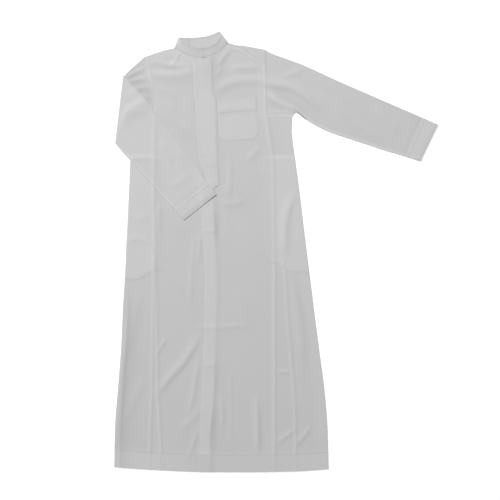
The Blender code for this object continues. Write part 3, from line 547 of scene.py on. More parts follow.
class Lay:
    """Where the robe's seams run and how high its layers lie."""

    armhole_seams = {
        "left": SeamLine(rise=1.1, left=3.0, right=8.0, stitch=5.4),
        "right": SeamLine(rise=0.7, left=7.0, right=3.0, stitch=-5.4),
    }
    front_seam = SeamLine(rise=0.9, left=4.0, right=9.0, groove=0.04)
    gore_seam = SeamLine(rise=0.9, left=4.0, right=8.0, groove=0.04)
    centre_seam = SeamLine(rise=0.0, left=3.0, right=3.0, groove=0.15)
    yoke_seam = SeamLine(rise=1.1, left=3.0, right=8.0)

    def line(self, name: str, y: np.ndarray) -> np.ndarray:
        """The x of one of the body's lines at this nominal level."""
        return eased(BODY["y"], BODY[name], y)

    def past(self, name: str, x: np.ndarray, y: np.ndarray) -> np.ndarray:
        """How far to the right of one of the body's lines a place is."""
        return x - self.line(name, y)

    def hem_line(self, x: np.ndarray) -> np.ndarray:
        """The y of the hem's edge."""
        return eased(HEM_X, HEM_LINE_Y, x)

    def level_y(self, nominal: np.ndarray, x: np.ndarray) -> np.ndarray:
        """Levels run level at the armpit and follow the hem's curve at the bottom."""
        share = (ARMPIT_Y - nominal) / (ARMPIT_Y - HEM_Y)
        return ARMPIT_Y + (self.hem_line(x) - ARMPIT_Y) * share

    def armhole(self, side: str, y: np.ndarray) -> np.ndarray:
        """The x of an armhole's seam."""
        if side == "left":
            return eased(LEFT_ARMHOLE_Y, LEFT_ARMHOLE_X, y)
        return eased(RIGHT_ARMHOLE_Y, RIGHT_ARMHOLE_X, y)

    def placket_edge(self, side: str, y: np.ndarray) -> np.ndarray:
        """The x of one of the placket's edges."""
        return eased([strip.y for strip in PLACKET], [getattr(strip, side) for strip in PLACKET], y)

    def yoke_line(self, x: np.ndarray) -> np.ndarray:
        """The y of the yoke's seams in front."""
        left, right = ([list(axis) for axis in zip(*seam)] for seam in (LEFT_YOKE_SEAM, RIGHT_YOKE_SEAM))
        return np.where(x < NECK_MIDDLE_X, eased(*left, x), eased(*right, x))

    def above_armpit(self, y: np.ndarray, soft: float = 2.0) -> np.ndarray:
        """1 above the armpit's level and 0 below it."""
        return smooth(y, ARMPIT_Y - soft, ARMPIT_Y + soft)

    def beside_gores(self, y: np.ndarray) -> np.ndarray:
        """1 at the gores' levels and 0 above them."""
        return 1 - smooth(y, GORE_TOP_Y - 30, GORE_TOP_Y - 5)

    def neck(self, x: np.ndarray, y: np.ndarray) -> np.ndarray:
        """The fronts arch up under the collar.

        Args:
            x: Places across the robe, in mm.
            y: Places along the robe, in mm.

        Returns:
            The height at each place, in mm.
        """
        beside = np.minimum(np.abs(x - NECK_MIDDLE_X) / NECK_HALF_WIDTH, 1.0)
        below = np.maximum(NECK_TOP_Y - y, 0.0)
        return NECK_RISE * np.cos(math.pi / 2 * beside) ** 2 * np.exp(-((below / NECK_SETTLES) ** 2))

    def bags(self, x: np.ndarray, y: np.ndarray) -> np.ndarray:
        """The side panels lift a little over the bags of the side pockets.

        Args:
            x: Places across the robe, in mm.
            y: Places along the robe, in mm.

        Returns:
            The height at each place, in mm.
        """
        left, right = self.past("left_seam", x, y), self.past("right_seam", x, y)
        inside = np.maximum(1 - smooth(left, 8, 40), smooth(right, -40, -8))
        down = smooth(y - self.bag_foot(x), -4, 3) * (1 - smooth(y, BAG_TOP_Y - 2, BAG_TOP_Y + 6))
        return BAG_RISE * inside * down

    def bag_foot(self, x: np.ndarray) -> np.ndarray:
        """The y of the side pockets' low edges."""
        return np.where(x < NECK_MIDDLE_X, eased(*LEFT_BAG_FOOT, x), eased(*RIGHT_BAG_FOOT, x))

    def doubled(self, x: np.ndarray, y: np.ndarray) -> np.ndarray:
        """How much cloth lies doubled under a place, where it shows through as a lighter tone.

        Args:
            x: Places across the robe, in mm.
            y: Places along the robe, in mm.

        Returns:
            An amount for each place.
        """
        x, y = np.broadcast_arrays(np.asarray(x, float), np.asarray(y, float))
        above = self.above_armpit(y)
        below = 1 - above
        gores = self.beside_gores(y)
        left, right = self.past("left_seam", x, y), self.past("right_seam", x, y)
        armhole = x - self.armhole("right", y)
        bag = smooth(y - self.bag_foot(x), -1.5, 1.5) * (1 - smooth(y, BAG_TOP_Y - 1.5, BAG_TOP_Y + 1.5))
        beside = np.maximum(left < 0, right > 0) * 1.0
        placket = x - self.placket_edge("left", y)
        facing = band(placket, FACING_LEFT, FACING_RIGHT) * band(y, FACING_STEP_Y, FACING_TOP_Y)
        low_facing = band(y, FACING_LOW_Y, FACING_STEP_Y)
        strip = 1 - smooth(y, STRIP_TOP_Y, STRIP_TOP_Y + 3)
        shown = (
            0.8 * above * band(x - self.armhole("left", y), -1.0, 9.0),
            0.5 * above * band(armhole, -9.0, 1.0),
            0.2 * above * band(armhole, -26.0, 0.0),
            0.6 * above * band(self.yoke_line(x) - y, -1.0, 7.0) * smooth(x, -190, -150),
            0.35 * below * band(right, -5.0, 4.0),
            0.15 * below * band(right, -14.0, 0.0),
            0.4 * below * band(left, -3.5, 6.0, 3.0),
            0.3 * gores * band(self.past("right_gore", x, y), -3.0, 5.0),
            0.35 * gores * band(self.past("left_gore", x, y), -3.5, 5.0, 3.0),
            0.5 * below * beside * bag,
            0.3 * below * smooth(self.past("right_edge", x, y), -62.0, -12.0),
            0.6 * beside * band(y, BAG_TOP_Y - 1, BAG_TOP_Y + 9) * (y < ARMPIT_Y),
            0.3 * facing,
            0.5 * facing * band(placket, FACING_LEFT, -5.0),
            0.6 * band(placket, FACING_LEFT, -11.0) * low_facing,
            0.2 * band(placket, -11.0, FACING_RIGHT) * low_facing,
            0.5 * band(self.past("centre", x, y), -STRIP_WIDTH, 0.0) * strip,
        )
        over_hem = smooth(y - self.hem_line(x), HEM_DEPTH - 1, HEM_DEPTH + 1)
        hem = 0.3 + 0.35 * smooth(np.abs(x + 120), 120, 320) - 0.3 * np.exp(-(((x + 250) / 30) ** 2))
        return np.maximum(np.maximum.reduce(shown) * (0.25 + 0.75 * over_hem), hem * (1 - over_hem))

    def past_forearm(self, x: np.ndarray, y: np.ndarray) -> np.ndarray:
        """How far to the right of the folded forearm's upper edge a place is.

        Args:
            x: Places across the robe, in mm.
            y: Places along the robe, in mm.

        Returns:
            The distances, in mm.
        """
        tops = [(ring.top_y, ring.top_x) for ring in [FOLD_LINE] + FOLDED_SLEEVE_LOWER]
        ys, xs = zip(*sorted(tops))
        return x - np.interp(y, ys, xs)

    def painted_body_shade(self, x: np.ndarray, y: np.ndarray) -> np.ndarray:
        """Painted shade: thin darker lines beside the seams, and darker patches where shadow falls beside
        folds and the forearm.

        Args:
            x: Places across the robe, in mm.
            y: Places along the robe, in mm.

        Returns:
            An amount for each place.
        """
        x, y = np.broadcast_arrays(np.asarray(x, float), np.asarray(y, float))
        above = self.above_armpit(y)
        below = 1 - above
        gores = self.beside_gores(y)
        placket, placket_right = x - self.placket_edge("left", y), x - self.placket_edge("right", y)
        at_placket = band(y, PLACKET[-1].y, PLACKET[0].y)
        strip = 1 - smooth(y, STRIP_TOP_Y, STRIP_TOP_Y + 3)
        edge = x - eased(*EDGE_SHADE, y)
        low = 1 - smooth(y, -260, -90)
        centre = self.past("centre", x, y)
        beside_strip = centre + 7 * smooth(-y, 480, 620)
        hollow = (1 - smooth(y, -480, -330)) * (1.1 + 0.5 * np.sin(y / 34.0))
        hollow += 0.8 * band(y, 30.0, 130.0, 50.0)
        strip_fades = np.exp(-np.maximum(beside_strip - 4, 0.0) / 12.0)
        placket_fades = np.exp(-np.maximum(placket_right, 0.0) / 9.0)
        forearm = self.past_forearm(x, y)
        # Every term is painted shade: lines beside seams, hem and facing, and shadows beside the left edge's
        # fold, the strip, the placket and the folded forearm
        shown = (
            0.42 * low * smooth(edge, 0.0, 5.0) * np.exp(-np.maximum(edge - 5, 0.0) / 24.0),
            0.3 * low * fine_line(edge + 7, 1.6),
            0.35 * hollow * smooth(beside_strip, 0.0, 3.0) * strip_fades,
            0.35 * above * (forearm > 0) * (x < -405) * (1 - smooth(forearm, 10.0, 90.0)),
            0.2 * at_placket * fine_line(placket + 1.2, 1.6),
            0.2 * at_placket * smooth(placket_right, -1.0, 1.0) * placket_fades,
            0.25 * fine_line(placket + 9.5, 1.6) * band(y, FACING_LOW_Y, FACING_STEP_Y),
            0.15 * fine_line(placket + 17.5, 2.0) * band(y, FACING_LOW_Y, FACING_TOP_Y),
            0.3 * above * fine_line(x - self.armhole("left", y) + 1.6, 1.6),
            0.3 * above * fine_line(x - self.armhole("right", y) - 1.6, 1.6),
            0.22 * strip * fine_line(centre + STRIP_WIDTH + 1.0, 1.5),
            0.1 * strip * fine_line(centre - 1.2, 2.0),
            0.1 * below * fine_line(self.past("right_seam", x, y) - 7.0, 3.0),
            0.1 * below * fine_line(self.past("left_seam", x, y) - 8.0, 3.0),
            0.1 * gores * fine_line(self.past("right_gore", x, y) - 7.5, 3.0),
            0.1 * gores * fine_line(self.past("left_gore", x, y) - 7.0, 3.0),
            0.22 * fine_line(y - self.hem_line(x) - HEM_DEPTH, 1.3),
            0.3 * above * fine_line(self.yoke_line(x) - y, 1.6) * (1 - smooth(x, -390, -360)) * (x > -432),
        )
        return np.maximum.reduce(shown)

    def seams(self, x: np.ndarray, y: np.ndarray) -> np.ndarray:
        """The ridges of the seams that cross the front.

        Args:
            x: Places across the robe, in mm.
            y: Places along the robe, in mm.

        Returns:
            The height at each place, in mm.
        """
        above = self.above_armpit(y, 3.0)
        in_yoke_left = smooth(x, -432, -425) * (1 - smooth(x, -322, -315))
        in_yoke_right = smooth(x, -166, -159) * (1 - smooth(x, -40, -36))
        total = (0.35 * in_yoke_left + in_yoke_right) * self.yoke_seam.height(self.yoke_line(x) - y)
        for side in ("left", "right"):
            total += above * self.armhole_seams[side].height(x - self.armhole(side, y))
            total += (1 - above) * self.front_seam.height(self.past(side + "_seam", x, y))
            total += self.beside_gores(y) * self.gore_seam.height(self.past(side + "_gore", x, y))
        return total + (1 - smooth(y, 640, 646)) * self.centre_seam.height(self.past("centre", x, y))

    def strip(self, x: np.ndarray, y: np.ndarray) -> np.ndarray:
        """The closing's folded edge, which shows as a strip below the placket.

        Args:
            x: Places across the robe, in mm.
            y: Places along the robe, in mm.

        Returns:
            The height at each place, in mm.
        """
        centre = self.past("centre", x, y)
        inside = smooth(centre + STRIP_WIDTH, -1.5, 1.0) * (1 - smooth(centre, -1.5, 17.0))
        return STRIP_RISE * inside * (1 - smooth(y, STRIP_TOP_Y, STRIP_TOP_Y + 20))

    def ripple(self, x: np.ndarray, y: np.ndarray) -> np.ndarray:
        """Cloth is never quite flat: long soft waves of a fraction of a millimetre.

        Args:
            x: Places across the robe, in mm.
            y: Places along the robe, in mm.

        Returns:
            The height at each place, in mm.
        """
        wave = np.sin(x / 37 + 1.4 * np.sin(y / 71 + 0.4)) * np.sin(y / 58 + 1.1 * np.sin(x / 64))
        wave = wave + 0.5 * np.sin((x + 0.7 * y) / 23 + 1.7 * np.sin((x - y) / 90))
        return 0.22 * wave

    def puckers(self, x: np.ndarray, above_hem: np.ndarray) -> np.ndarray:
        """The small upright wrinkles that the stitches draw into the turned-up hem.

        Args:
            x: Places across the robe, in mm.
            above_hem: How far above the hem each place is, in mm.

        Returns:
            The height at each place, in mm.
        """
        inside = 1 - smooth(above_hem, HEM_DEPTH - 10, HEM_DEPTH + 5)
        where = 0.25 + 0.75 * smooth(x, -240, -190) * (1 - smooth(x, -20, 40))
        wave = np.sin(x / 1.9 + 1.6 * np.sin(x / 13.0) + above_hem / 30.0)
        return 0.26 * inside * where * wave * (0.6 + 0.4 * np.sin(x / 21.0))

    def front(self, x: np.ndarray, y: np.ndarray, seams: bool = True) -> np.ndarray:
        """Height of the front layer's outer face above the floor.

        Args:
            x: Places from left to right.
            y: Places from the hem to the collar.
            seams: Whether the seams' ridges are counted.

        Returns:
            The heights.
        """
        x, y = np.broadcast_arrays(np.asarray(x, float), np.asarray(y, float))
        above_hem = y - self.hem_line(x)
        hem = HEM_RISE * (1 - smooth(above_hem, HEM_DEPTH, HEM_DEPTH + HEM_SETTLES))
        calm = smooth(above_hem, HEM_DEPTH - 20, HEM_DEPTH + 60)
        under_forearm = smooth(10.0 - self.past_forearm(x, y), 0.0, 16.0) * smooth(y, 460.0, 480.0)
        folds = creases_height(FRONT_CREASES, x, y) * (1 - under_forearm)
        relief = np.maximum(folds * (0.35 + 0.65 * calm) + self.ripple(x, y), -DEEPEST_DIP)
        relief = relief + self.puckers(x, above_hem)
        total = FRONT_TOP + hem + relief + self.neck(x, y) + self.bags(x, y) + self.strip(x, y)
        if seams:
            total += self.seams(x, y) * (0.3 + 0.7 * smooth(above_hem, HEM_DEPTH - 4, HEM_DEPTH + 4))
        return total

    def under(self, x: np.ndarray, y: np.ndarray) -> np.ndarray:
        """How far the underside lifts off the floor in its soft creases and at its seams."""
        seams = fine_line(self.past("left_seam", x, y), 5) + fine_line(self.past("right_seam", x, y), 5)
        return np.clip(creases_height(BACK_CREASES, x, y) + 0.3 * seams * (y < ARMPIT_Y), 0.0, 0.7)


LAY = Lay()


class NodeBoard:
    """Sets out the nodes of one tree and joins them."""

    def __init__(self, tree: bpy.types.NodeTree) -> None:
        """Start on a tree."""
        self.tree = tree

    def feed(self, node: bpy.types.Node, inputs: dict) -> None:
        """Give a node's inputs their values, or join them to the sockets that feed them."""
        for name, value in inputs.items():
            if isinstance(value, bpy.types.NodeSocket):
                self.tree.links.new(value, node.inputs[name])
            else:
                node.inputs[name].default_value = value

    def add(
        self, kind: str, output: str, inputs: dict | None = None, **settings: object
    ) -> bpy.types.NodeSocket:
        """Add a node.

        Args:
            kind: The node's type.
            output: The name of the output that is wanted.
            inputs: A value, or the socket that feeds it, for each input.
            settings: The node's other settings.

        Returns:
            The wanted output.
        """
        node = self.tree.nodes.new(kind)
        for name, value in settings.items():
            setattr(node, name, value)
        self.feed(node, inputs or {})
        return node.outputs[output]

    def times(self, first: bpy.types.NodeSocket, second: bpy.types.NodeSocket) -> bpy.types.NodeSocket:
        """The product of two sockets."""
        return self.add("ShaderNodeMath", "Value", {0: first, 1: second}, operation="MULTIPLY")

    def spread(self, value: bpy.types.NodeSocket, given: tuple, wanted: tuple, clamp: bool = True) -> object:
        """A value moved from one range to another."""
        ends = {"From Min": given[0], "From Max": given[1], "To Min": wanted[0], "To Max": wanted[1]}
        return self.add("ShaderNodeMapRange", "Result", {"Value": value, **ends}, clamp=clamp)


def new_finish(name: str) -> tuple:
    """A new material, the board of its tree, and its shader.

    Args:
        name: What it is called.

    Returns:
        The material, its board and its shader.
    """
    made = bpy.data.materials.new(name)
    made.use_nodes = True
    return made, NodeBoard(made.node_tree), made.node_tree.nodes["Principled BSDF"]


@dataclass(frozen=True)
class ClothFinish:
    """Plain white suiting: a fine weave with faint slubs and a soft sheen."""

    name: str
    colour: tuple = (0.755, 0.756, 0.762)
    doubled: tuple = (0.84, 0.84, 0.847)
    roughness: float = 0.82
    roughness_swing: float = 0.06
    sheen: float = 0.18
    threads: float = 2100.0
    threads_per_wave: float = 20.0
    weave: float = 0.25
    # How dark the painted shade makes the cloth at its full amount
    painted_shade_tone: float = 0.7

    def tone(self, board: NodeBoard, slubs: bpy.types.NodeSocket) -> bpy.types.NodeSocket:
        """The cloth's colour: lighter where it is doubled and where light is painted, darker where shade is
        painted, and faintly uneven.

        Args:
            board: Where its nodes are added.
            slubs: The noise of the yarn's thick places.

        Returns:
            The colour's socket.
        """
        place = board.add("ShaderNodeTexCoord", "Object")
        mottle = {"Scale": 9.0, "Detail": 4.0, "Roughness": 0.55, "Vector": place}
        mottle = board.add("ShaderNodeTexNoise", "Fac", mottle)
        layers = board.add("ShaderNodeAttribute", "Fac", attribute_name="layers")
        lines = board.add("ShaderNodeAttribute", "Fac", attribute_name="lines")
        colours = {"A": self.colour + (1.0,), "B": self.doubled + (1.0,), "Factor": layers}
        base = board.add("ShaderNodeMix", "Result", colours, data_type="RGBA")
        clouds = board.spread(mottle, (0.25, 0.75), (0.988, 1.008))
        grain = board.spread(slubs, (0.3, 0.7), (0.985, 1.01))
        # Painted shade darkens the colour
        dim = board.spread(lines, (0.0, 1.0), (1.0, self.painted_shade_tone), clamp=False)
        toned = {"Vector": base, "Scale": board.times(board.times(clouds, grain), dim)}
        return board.add("ShaderNodeVectorMath", "Vector", toned, operation="SCALE")

    def build(self) -> bpy.types.Material:
        """Make the material.

        Returns:
            The finished material.
        """
        made, board, shader = new_finish(self.name)
        place = board.add("ShaderNodeUVMap", "UV", uv_map="weave")
        scale = self.threads / self.threads_per_wave
        wave = {"Scale": scale, "Distortion": 0.6, "Detail": 1.0, "Vector": place}
        across = board.add("ShaderNodeTexWave", "Fac", wave, wave_type="BANDS", bands_direction="X")
        along = board.add("ShaderNodeTexWave", "Fac", wave, wave_type="BANDS", bands_direction="Y")
        weave = board.add("ShaderNodeMath", "Value", {0: across, 1: along}, operation="MAXIMUM")
        slubs = board.add("ShaderNodeTexNoise", "Fac", {"Scale": 420.0, "Detail": 3.0, "Vector": place})
        rough = (self.roughness - self.roughness_swing, self.roughness + self.roughness_swing)
        threads = {"Strength": self.weave, "Distance": 0.0002, "Height": weave}
        threads = board.add("ShaderNodeBump", "Normal", threads)
        uneven = {"Strength": 0.3, "Distance": 0.0004, "Height": slubs, "Normal": threads}
        finish = {
            "Metallic": 0.0,
            "Sheen Weight": self.sheen,
            "Sheen Roughness": 0.6,
            "Specular IOR Level": 0.3,
            "Base Color": self.tone(board, slubs),
            "Roughness": board.spread(slubs, (0.0, 1.0), rough),
            "Normal": board.add("ShaderNodeBump", "Normal", uneven),
        }
        board.feed(shader, finish)
        return made


@dataclass(frozen=True)
class ThreadFinish:
    """Twisted white sewing thread."""

    name: str = "sewing_thread"
    colour: tuple = (0.78, 0.79, 0.81)
    shade: float = 0.93

    def build(self) -> bpy.types.Material:
        """Make the material.

        Returns:
            The finished material.
        """
        made, board, shader = new_finish(self.name)
        place = board.add("ShaderNodeTexCoord", "Object")
        twist = board.add("ShaderNodeTexNoise", "Fac", {"Scale": 1800.0, "Vector": place})
        dark = tuple(c * self.shade for c in self.colour) + (1.0,)
        colours = {"A": dark, "B": self.colour + (1.0,), "Factor": twist}
        tone = board.add("ShaderNodeMix", "Result", colours, data_type="RGBA")
        board.feed(shader, {"Roughness": 0.6, "Sheen Weight": 0.2, "Base Color": tone})
        return made


@dataclass(frozen=True)
class FloorFinish:
    """A pale seamless paper floor that reads as plain white."""

    name: str = "pale_floor"
    colour: tuple = (0.93, 0.93, 0.93)
    glow: float = 0.46

    def build(self) -> bpy.types.Material:
        """Make the material.

        Returns:
            The finished material.
        """
        made, board, shader = new_finish(self.name)
        look = {"Base Color": self.colour + (1.0,), "Roughness": 0.9, "Specular IOR Level": 0.1}
        board.feed(shader, {**look, "Emission Color": (1.0, 1.0, 1.0, 1.0), "Emission Strength": self.glow})
        return made


@dataclass
class ClothPiece:
    """One cut piece of cloth, as rows of points on its outer face.

    Seen from outside, rows run downwards and the points of a row run to the right. A closed piece is
    a tube whose last point in each row meets the first.
    """

    node: str
    points: np.ndarray
    slot: Slot = Slot.MAIN
    wall: float = 0.5
    closed: bool = False
    absent: np.ndarray | None = None
    # Lighter tone where the cloth is doubled, and painted light
    layers: np.ndarray | None = None
    # Amount of painted shade at each point, along seams, stitches and folds
    lines: np.ndarray | None = None
    held: Held = Held.LAID
    rests_on: tuple = ()

    @classmethod
    def on_body(cls, node: str, points: np.ndarray, **more: object) -> "ClothPiece":
        """A piece of the body: lighter where its cloth is doubled, with painted shade beside its seams and
        folds.
        """
        x, y = points[..., 0], points[..., 1]
        return cls(node, points, layers=LAY.doubled(x, y), lines=LAY.painted_body_shade(x, y), **more)

    @property
    def name(self) -> str:
        """What the piece's object is called."""
        return self.node + "_cloth"

    def faces(self) -> np.ndarray:
        """Corner numbers of each four-sided face.

        Returns:
            Four numbers for each face.
        """
        rows, columns = self.points.shape[:2]
        numbers = np.arange(rows * columns).reshape(rows, columns)
        if self.closed:
            numbers = np.concatenate((numbers, numbers[:, :1]), axis=1)
        quads = np.stack((numbers[:-1, :-1], numbers[1:, :-1], numbers[1:, 1:], numbers[:-1, 1:]), axis=-1)
        if self.absent is not None:
            return quads[~self.absent]
        return quads.reshape(-1, 4)

    def weave_places(self) -> np.ndarray:
        """Each point's place on the cloth, in metres along its rows and columns.

        Returns:
            Two lengths for each point.
        """
        steps = np.linalg.norm(np.diff(self.points, axis=1), axis=2)
        across = np.concatenate((np.zeros((len(steps), 1)), np.cumsum(steps, axis=1)), axis=1)
        across = across - across.mean(axis=1, keepdims=True)
        steps = np.linalg.norm(np.diff(self.points, axis=0), axis=2)
        down = np.concatenate((np.zeros((1, steps.shape[1])), np.cumsum(steps, axis=0)), axis=0)
        return np.stack((across, -down), axis=-1).reshape(-1, 2) * MM

    def build(self, finish: bpy.types.Material) -> bpy.types.Object:
        """Make the piece as a thin shell.

        Args:
            finish: The cloth's material.

        Returns:
            The new object.
        """
        faces = self.faces()
        used, numbers = np.unique(faces, return_inverse=True)
        faces = numbers.reshape(-1, 4)
        mesh = bpy.data.meshes.new(self.name)
        mesh.from_pydata((self.points.reshape(-1, 3)[used] * MM).tolist(), [], faces.tolist())
        places = self.weave_places()[used]
        weave = mesh.uv_layers.new(name="weave")
        corners = np.zeros(len(mesh.loops), dtype=np.int32)
        mesh.loops.foreach_get("vertex_index", corners)
        weave.data.foreach_set("uv", places[corners].astype(np.float32).ravel())
        # The doubled cloth's tone with its painted light, and the painted shade, go on the mesh as
        # attributes
        for name, given in (("layers", self.layers), ("lines", self.lines)):
            amounts = np.zeros(len(used)) if given is None else np.ascontiguousarray(given).reshape(-1)[used]
            attribute = mesh.attributes.new(name, "FLOAT", "POINT")
            attribute.data.foreach_set("value", amounts.astype(np.float32))
        mesh.shade_smooth()
        mesh.materials.append(finish)
        piece = bpy.data.objects.new(self.name, mesh)
        bpy.context.scene.collection.objects.link(piece)
        shell = piece.modifiers.new("wall", "SOLIDIFY")
        shell.thickness = self.wall * MM
        shell.offset = -1.0
        shell.use_quality_normals = True
        depsgraph = bpy.context.evaluated_depsgraph_get()
        depsgraph.update()
        whole = bpy.data.meshes.new_from_object(piece.evaluated_get(depsgraph))
        whole.name = self.name
        whole.set_sharp_from_angle(angle=EDGE_ANGLE)
        piece.modifiers.clear()
        piece.data = whole
        bpy.data.meshes.remove(mesh)
        return piece


@dataclass
class StitchRows:
    """Rows of lockstitches that follow paths over the cloth."""

    name: str
    paths: list
    pitch: float = 3.0
    length: float = 2.3
    thread: float = 0.4

    def tree(self, thread: bpy.types.Material) -> bpy.types.NodeTree:
        """The nodes that lay a stitch at each step along a path.

        Args:
            thread: The thread's material.

        Returns:
            The node tree, with its sizes as named inputs.
        """
        tree = bpy.data.node_groups.new(self.name + "_stitcher", "GeometryNodeTree")
        face = tree.interface
        face.new_socket("Paths", in_out="INPUT", socket_type="NodeSocketGeometry")
        for size in ("Pitch", "Length", "Thread"):
            face.new_socket(size, in_out="INPUT", socket_type="NodeSocketFloat")
        face.new_socket("Stitches", in_out="OUTPUT", socket_type="NodeSocketGeometry")
        board = NodeBoard(tree)
        given = tree.nodes.new("NodeGroupInput").outputs
        thick = given["Thread"]
        curve = board.add("GeometryNodeMeshToCurve", "Curve", {"Mesh": given["Paths"]})
        steps = {"Curve": curve, "Length": given["Pitch"]}
        steps = board.add("GeometryNodeResampleCurve", "Curve", steps, mode="LENGTH")
        along = board.add("GeometryNodeInputTangent", "Tangent")
        turn = board.add("FunctionNodeAlignRotationToVector", "Rotation", {"Vector": along}, axis="X")
        bead = board.add("GeometryNodeMeshIcoSphere", "Mesh", {"Radius": 0.5, "Subdivisions": 1})
        sizes = board.add("ShaderNodeCombineXYZ", "Vector", {"X": given["Length"], "Y": thick, "Z": thick})
        shaped = board.add("GeometryNodeTransform", "Geometry", {"Geometry": bead, "Scale": sizes})
        placed = {"Points": steps, "Instance": shaped, "Rotation": turn}
        placed = board.add("GeometryNodeInstanceOnPoints", "Instances", placed)
        real = board.add("GeometryNodeRealizeInstances", "Geometry", {"Geometry": placed})
        dressed = {"Geometry": real, "Material": thread}
        dressed = board.add("GeometryNodeSetMaterial", "Geometry", dressed)
        board.feed(tree.nodes.new("NodeGroupOutput"), {"Stitches": dressed})
        return tree

    def build(self, thread: bpy.types.Material) -> bpy.types.Object:
        """Lay the stitches along the paths.

        Args:
            thread: The thread's material.

        Returns:
            One plain mesh object with every stitch.
        """
        points, edges = [], []
        for path in self.paths:
            first = len(points)
            points.extend((np.asarray(path) * MM).tolist())
            edges.extend((first + i, first + i + 1) for i in range(len(path) - 1))
        guide = bpy.data.meshes.new(self.name + "_paths")
        guide.from_pydata(points, edges, [])
        runner = bpy.data.objects.new(self.name + "_runner", guide)
        bpy.context.scene.collection.objects.link(runner)
        tree = self.tree(thread)
        stitcher = runner.modifiers.new("stitches", "NODES")
        stitcher.node_group = tree
        values = {"Pitch": self.pitch, "Length": self.length, "Thread": self.thread}
        for socket in tree.interface.items_tree:
            if socket.name in values and socket.in_out == "INPUT":
                stitcher[socket.identifier] = values[socket.name] * MM
        depsgraph = bpy.context.evaluated_depsgraph_get()
        depsgraph.update()
        mesh = bpy.data.meshes.new_from_object(runner.evaluated_get(depsgraph))
        mesh.name = self.name
        mesh.shade_smooth()
        if not mesh.materials:
            mesh.materials.append(thread)
        bpy.data.objects.remove(runner)
        piece = bpy.data.objects.new(self.name, mesh)
        bpy.context.scene.collection.objects.link(piece)
        return piece


@dataclass
class Workshop:
    """Turns shaped pieces into finished ones, each hung under the root with its solid hidden."""

    cloths: dict = field(default_factory=dict)
    thread: bpy.types.Material | None = None

    def prepare(self) -> None:
        """Make the finishes."""
        self.cloths[Slot.MAIN] = ClothFinish("white_suiting").build()
        stiff = ClothFinish("interlined_suiting", doubled=(0.85, 0.85, 0.856))
        self.cloths[Slot.STIFF] = stiff.build()
        bag = ClothFinish("pocketing_cotton", colour=(0.76, 0.76, 0.76), sheen=0.05, threads=1500.0)
        self.cloths[Slot.POCKETING] = bag.build()
        self.thread = ThreadFinish().build()

    def sew(self, piece: ClothPiece, stitches: list) -> None:
        """Finish one piece with its rows of stitches.

        Args:
            piece: The shaped cloth.
            stitches: Paths of its stitches, in millimetres.
        """
        made = piece.build(self.cloths[piece.slot])
        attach(made, "root")
        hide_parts(piece.node)
        if stitches:
            rows = StitchRows(piece.node + "_stitches", stitches).build(self.thread)
            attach(rows, "root")
        log.info("%s is ready", piece.name)


def lifted(path: np.ndarray, by: float = STITCH_OUT) -> np.ndarray:
    """A path raised a little off the cloth.

    Args:
        path: Points on the cloth.
        by: How far it is raised, in mm.

    Returns:
        The raised path.
    """
    path = np.array(path, float)
    path[:, 2] += by
    return path


def fixed_spread(widths: np.ndarray, left: tuple, right: tuple, step: float = COLUMN_STEP) -> np.ndarray:
    """The same number of places across each of some widths.

    Args:
        widths: The width of each row.
        left: Distances of the fine places from the left side.
        right: Distances of the fine places from the right side.
        step: About how far apart the even places are on the widest row.

    Returns:
        An array of rows of distances from the left side.
    """
    widths = np.asarray(widths, float)
    reach = left[-1] + right[-1]
    count = max(int(math.ceil((widths.max() - reach) / step)), 1)
    scale = np.minimum(1.0, 0.75 * widths / reach)[:, None]
    first = left[-1] * scale
    last = widths[:, None] - right[-1] * scale
    share = np.linspace(0, 1, count + 1)[1:-1][None, :]
    near_right = widths[:, None] - np.array(right[::-1])[None, :] * scale
    near_left = np.array(left)[None, :] * scale
    return np.concatenate((near_left, first + (last - first) * share, near_right), axis=1)


def spread(width: float, left: tuple, right: tuple, step: float = 4.0) -> np.ndarray:
    """Places across one width, finer at its two sides."""
    return fixed_spread(np.array([width]), left, right, step)[0]


@dataclass(frozen=True)
class BodyRows:
    """The levels of the body's rows, from the armpit to the turned-up hem."""

    step: float = STEP
    stitch: float = HEM_Y + HEM_DEPTH
    turn: float = HEM_TURN_RADIUS
    inner_rows: int = 9

    def levels(self) -> tuple:
        """Nominal levels and depths under the outer face.

        Returns:
            Two arrays: the level of each row, and how deep it lies.
        """
        fine = np.array([5.0, 3.0, 1.6, 0.7, 0.0])
        edge = HEM_Y + self.turn
        parts = (
            np.arange(ARMPIT_Y, self.stitch + 8.0, -self.step),
            self.stitch + fine,
            self.stitch - fine[::-1][1:],
            np.arange(self.stitch - 10.0, HEM_Y + 6.0, -self.step),
            edge + np.array([3.0, 1.2]),
        )
        outer = np.concatenate(parts)
        angles = np.linspace(0, math.pi, ROLL_STEPS + 1)
        inner = np.linspace(edge + 3.0, self.stitch, self.inner_rows)
        level = np.concatenate((outer, edge - self.turn * np.sin(angles), inner))
        turned = self.turn * (1 - np.cos(angles))
        depth = np.concatenate((np.zeros(len(outer)), turned, np.full(len(inner), 2 * self.turn)))
        return level, depth

    def stitch_row(self) -> int:
        """The number of the row that runs along the hem's stitches."""
        level, depth = self.levels()
        return int(np.argmin(np.abs(level - self.stitch) + depth * 100))


ROWS = BodyRows()

# The body's lines at the left and the right of each front
FRONT_SIDES = {"left": ("left_seam", "centre"), "right": ("centre", "right_seam")}


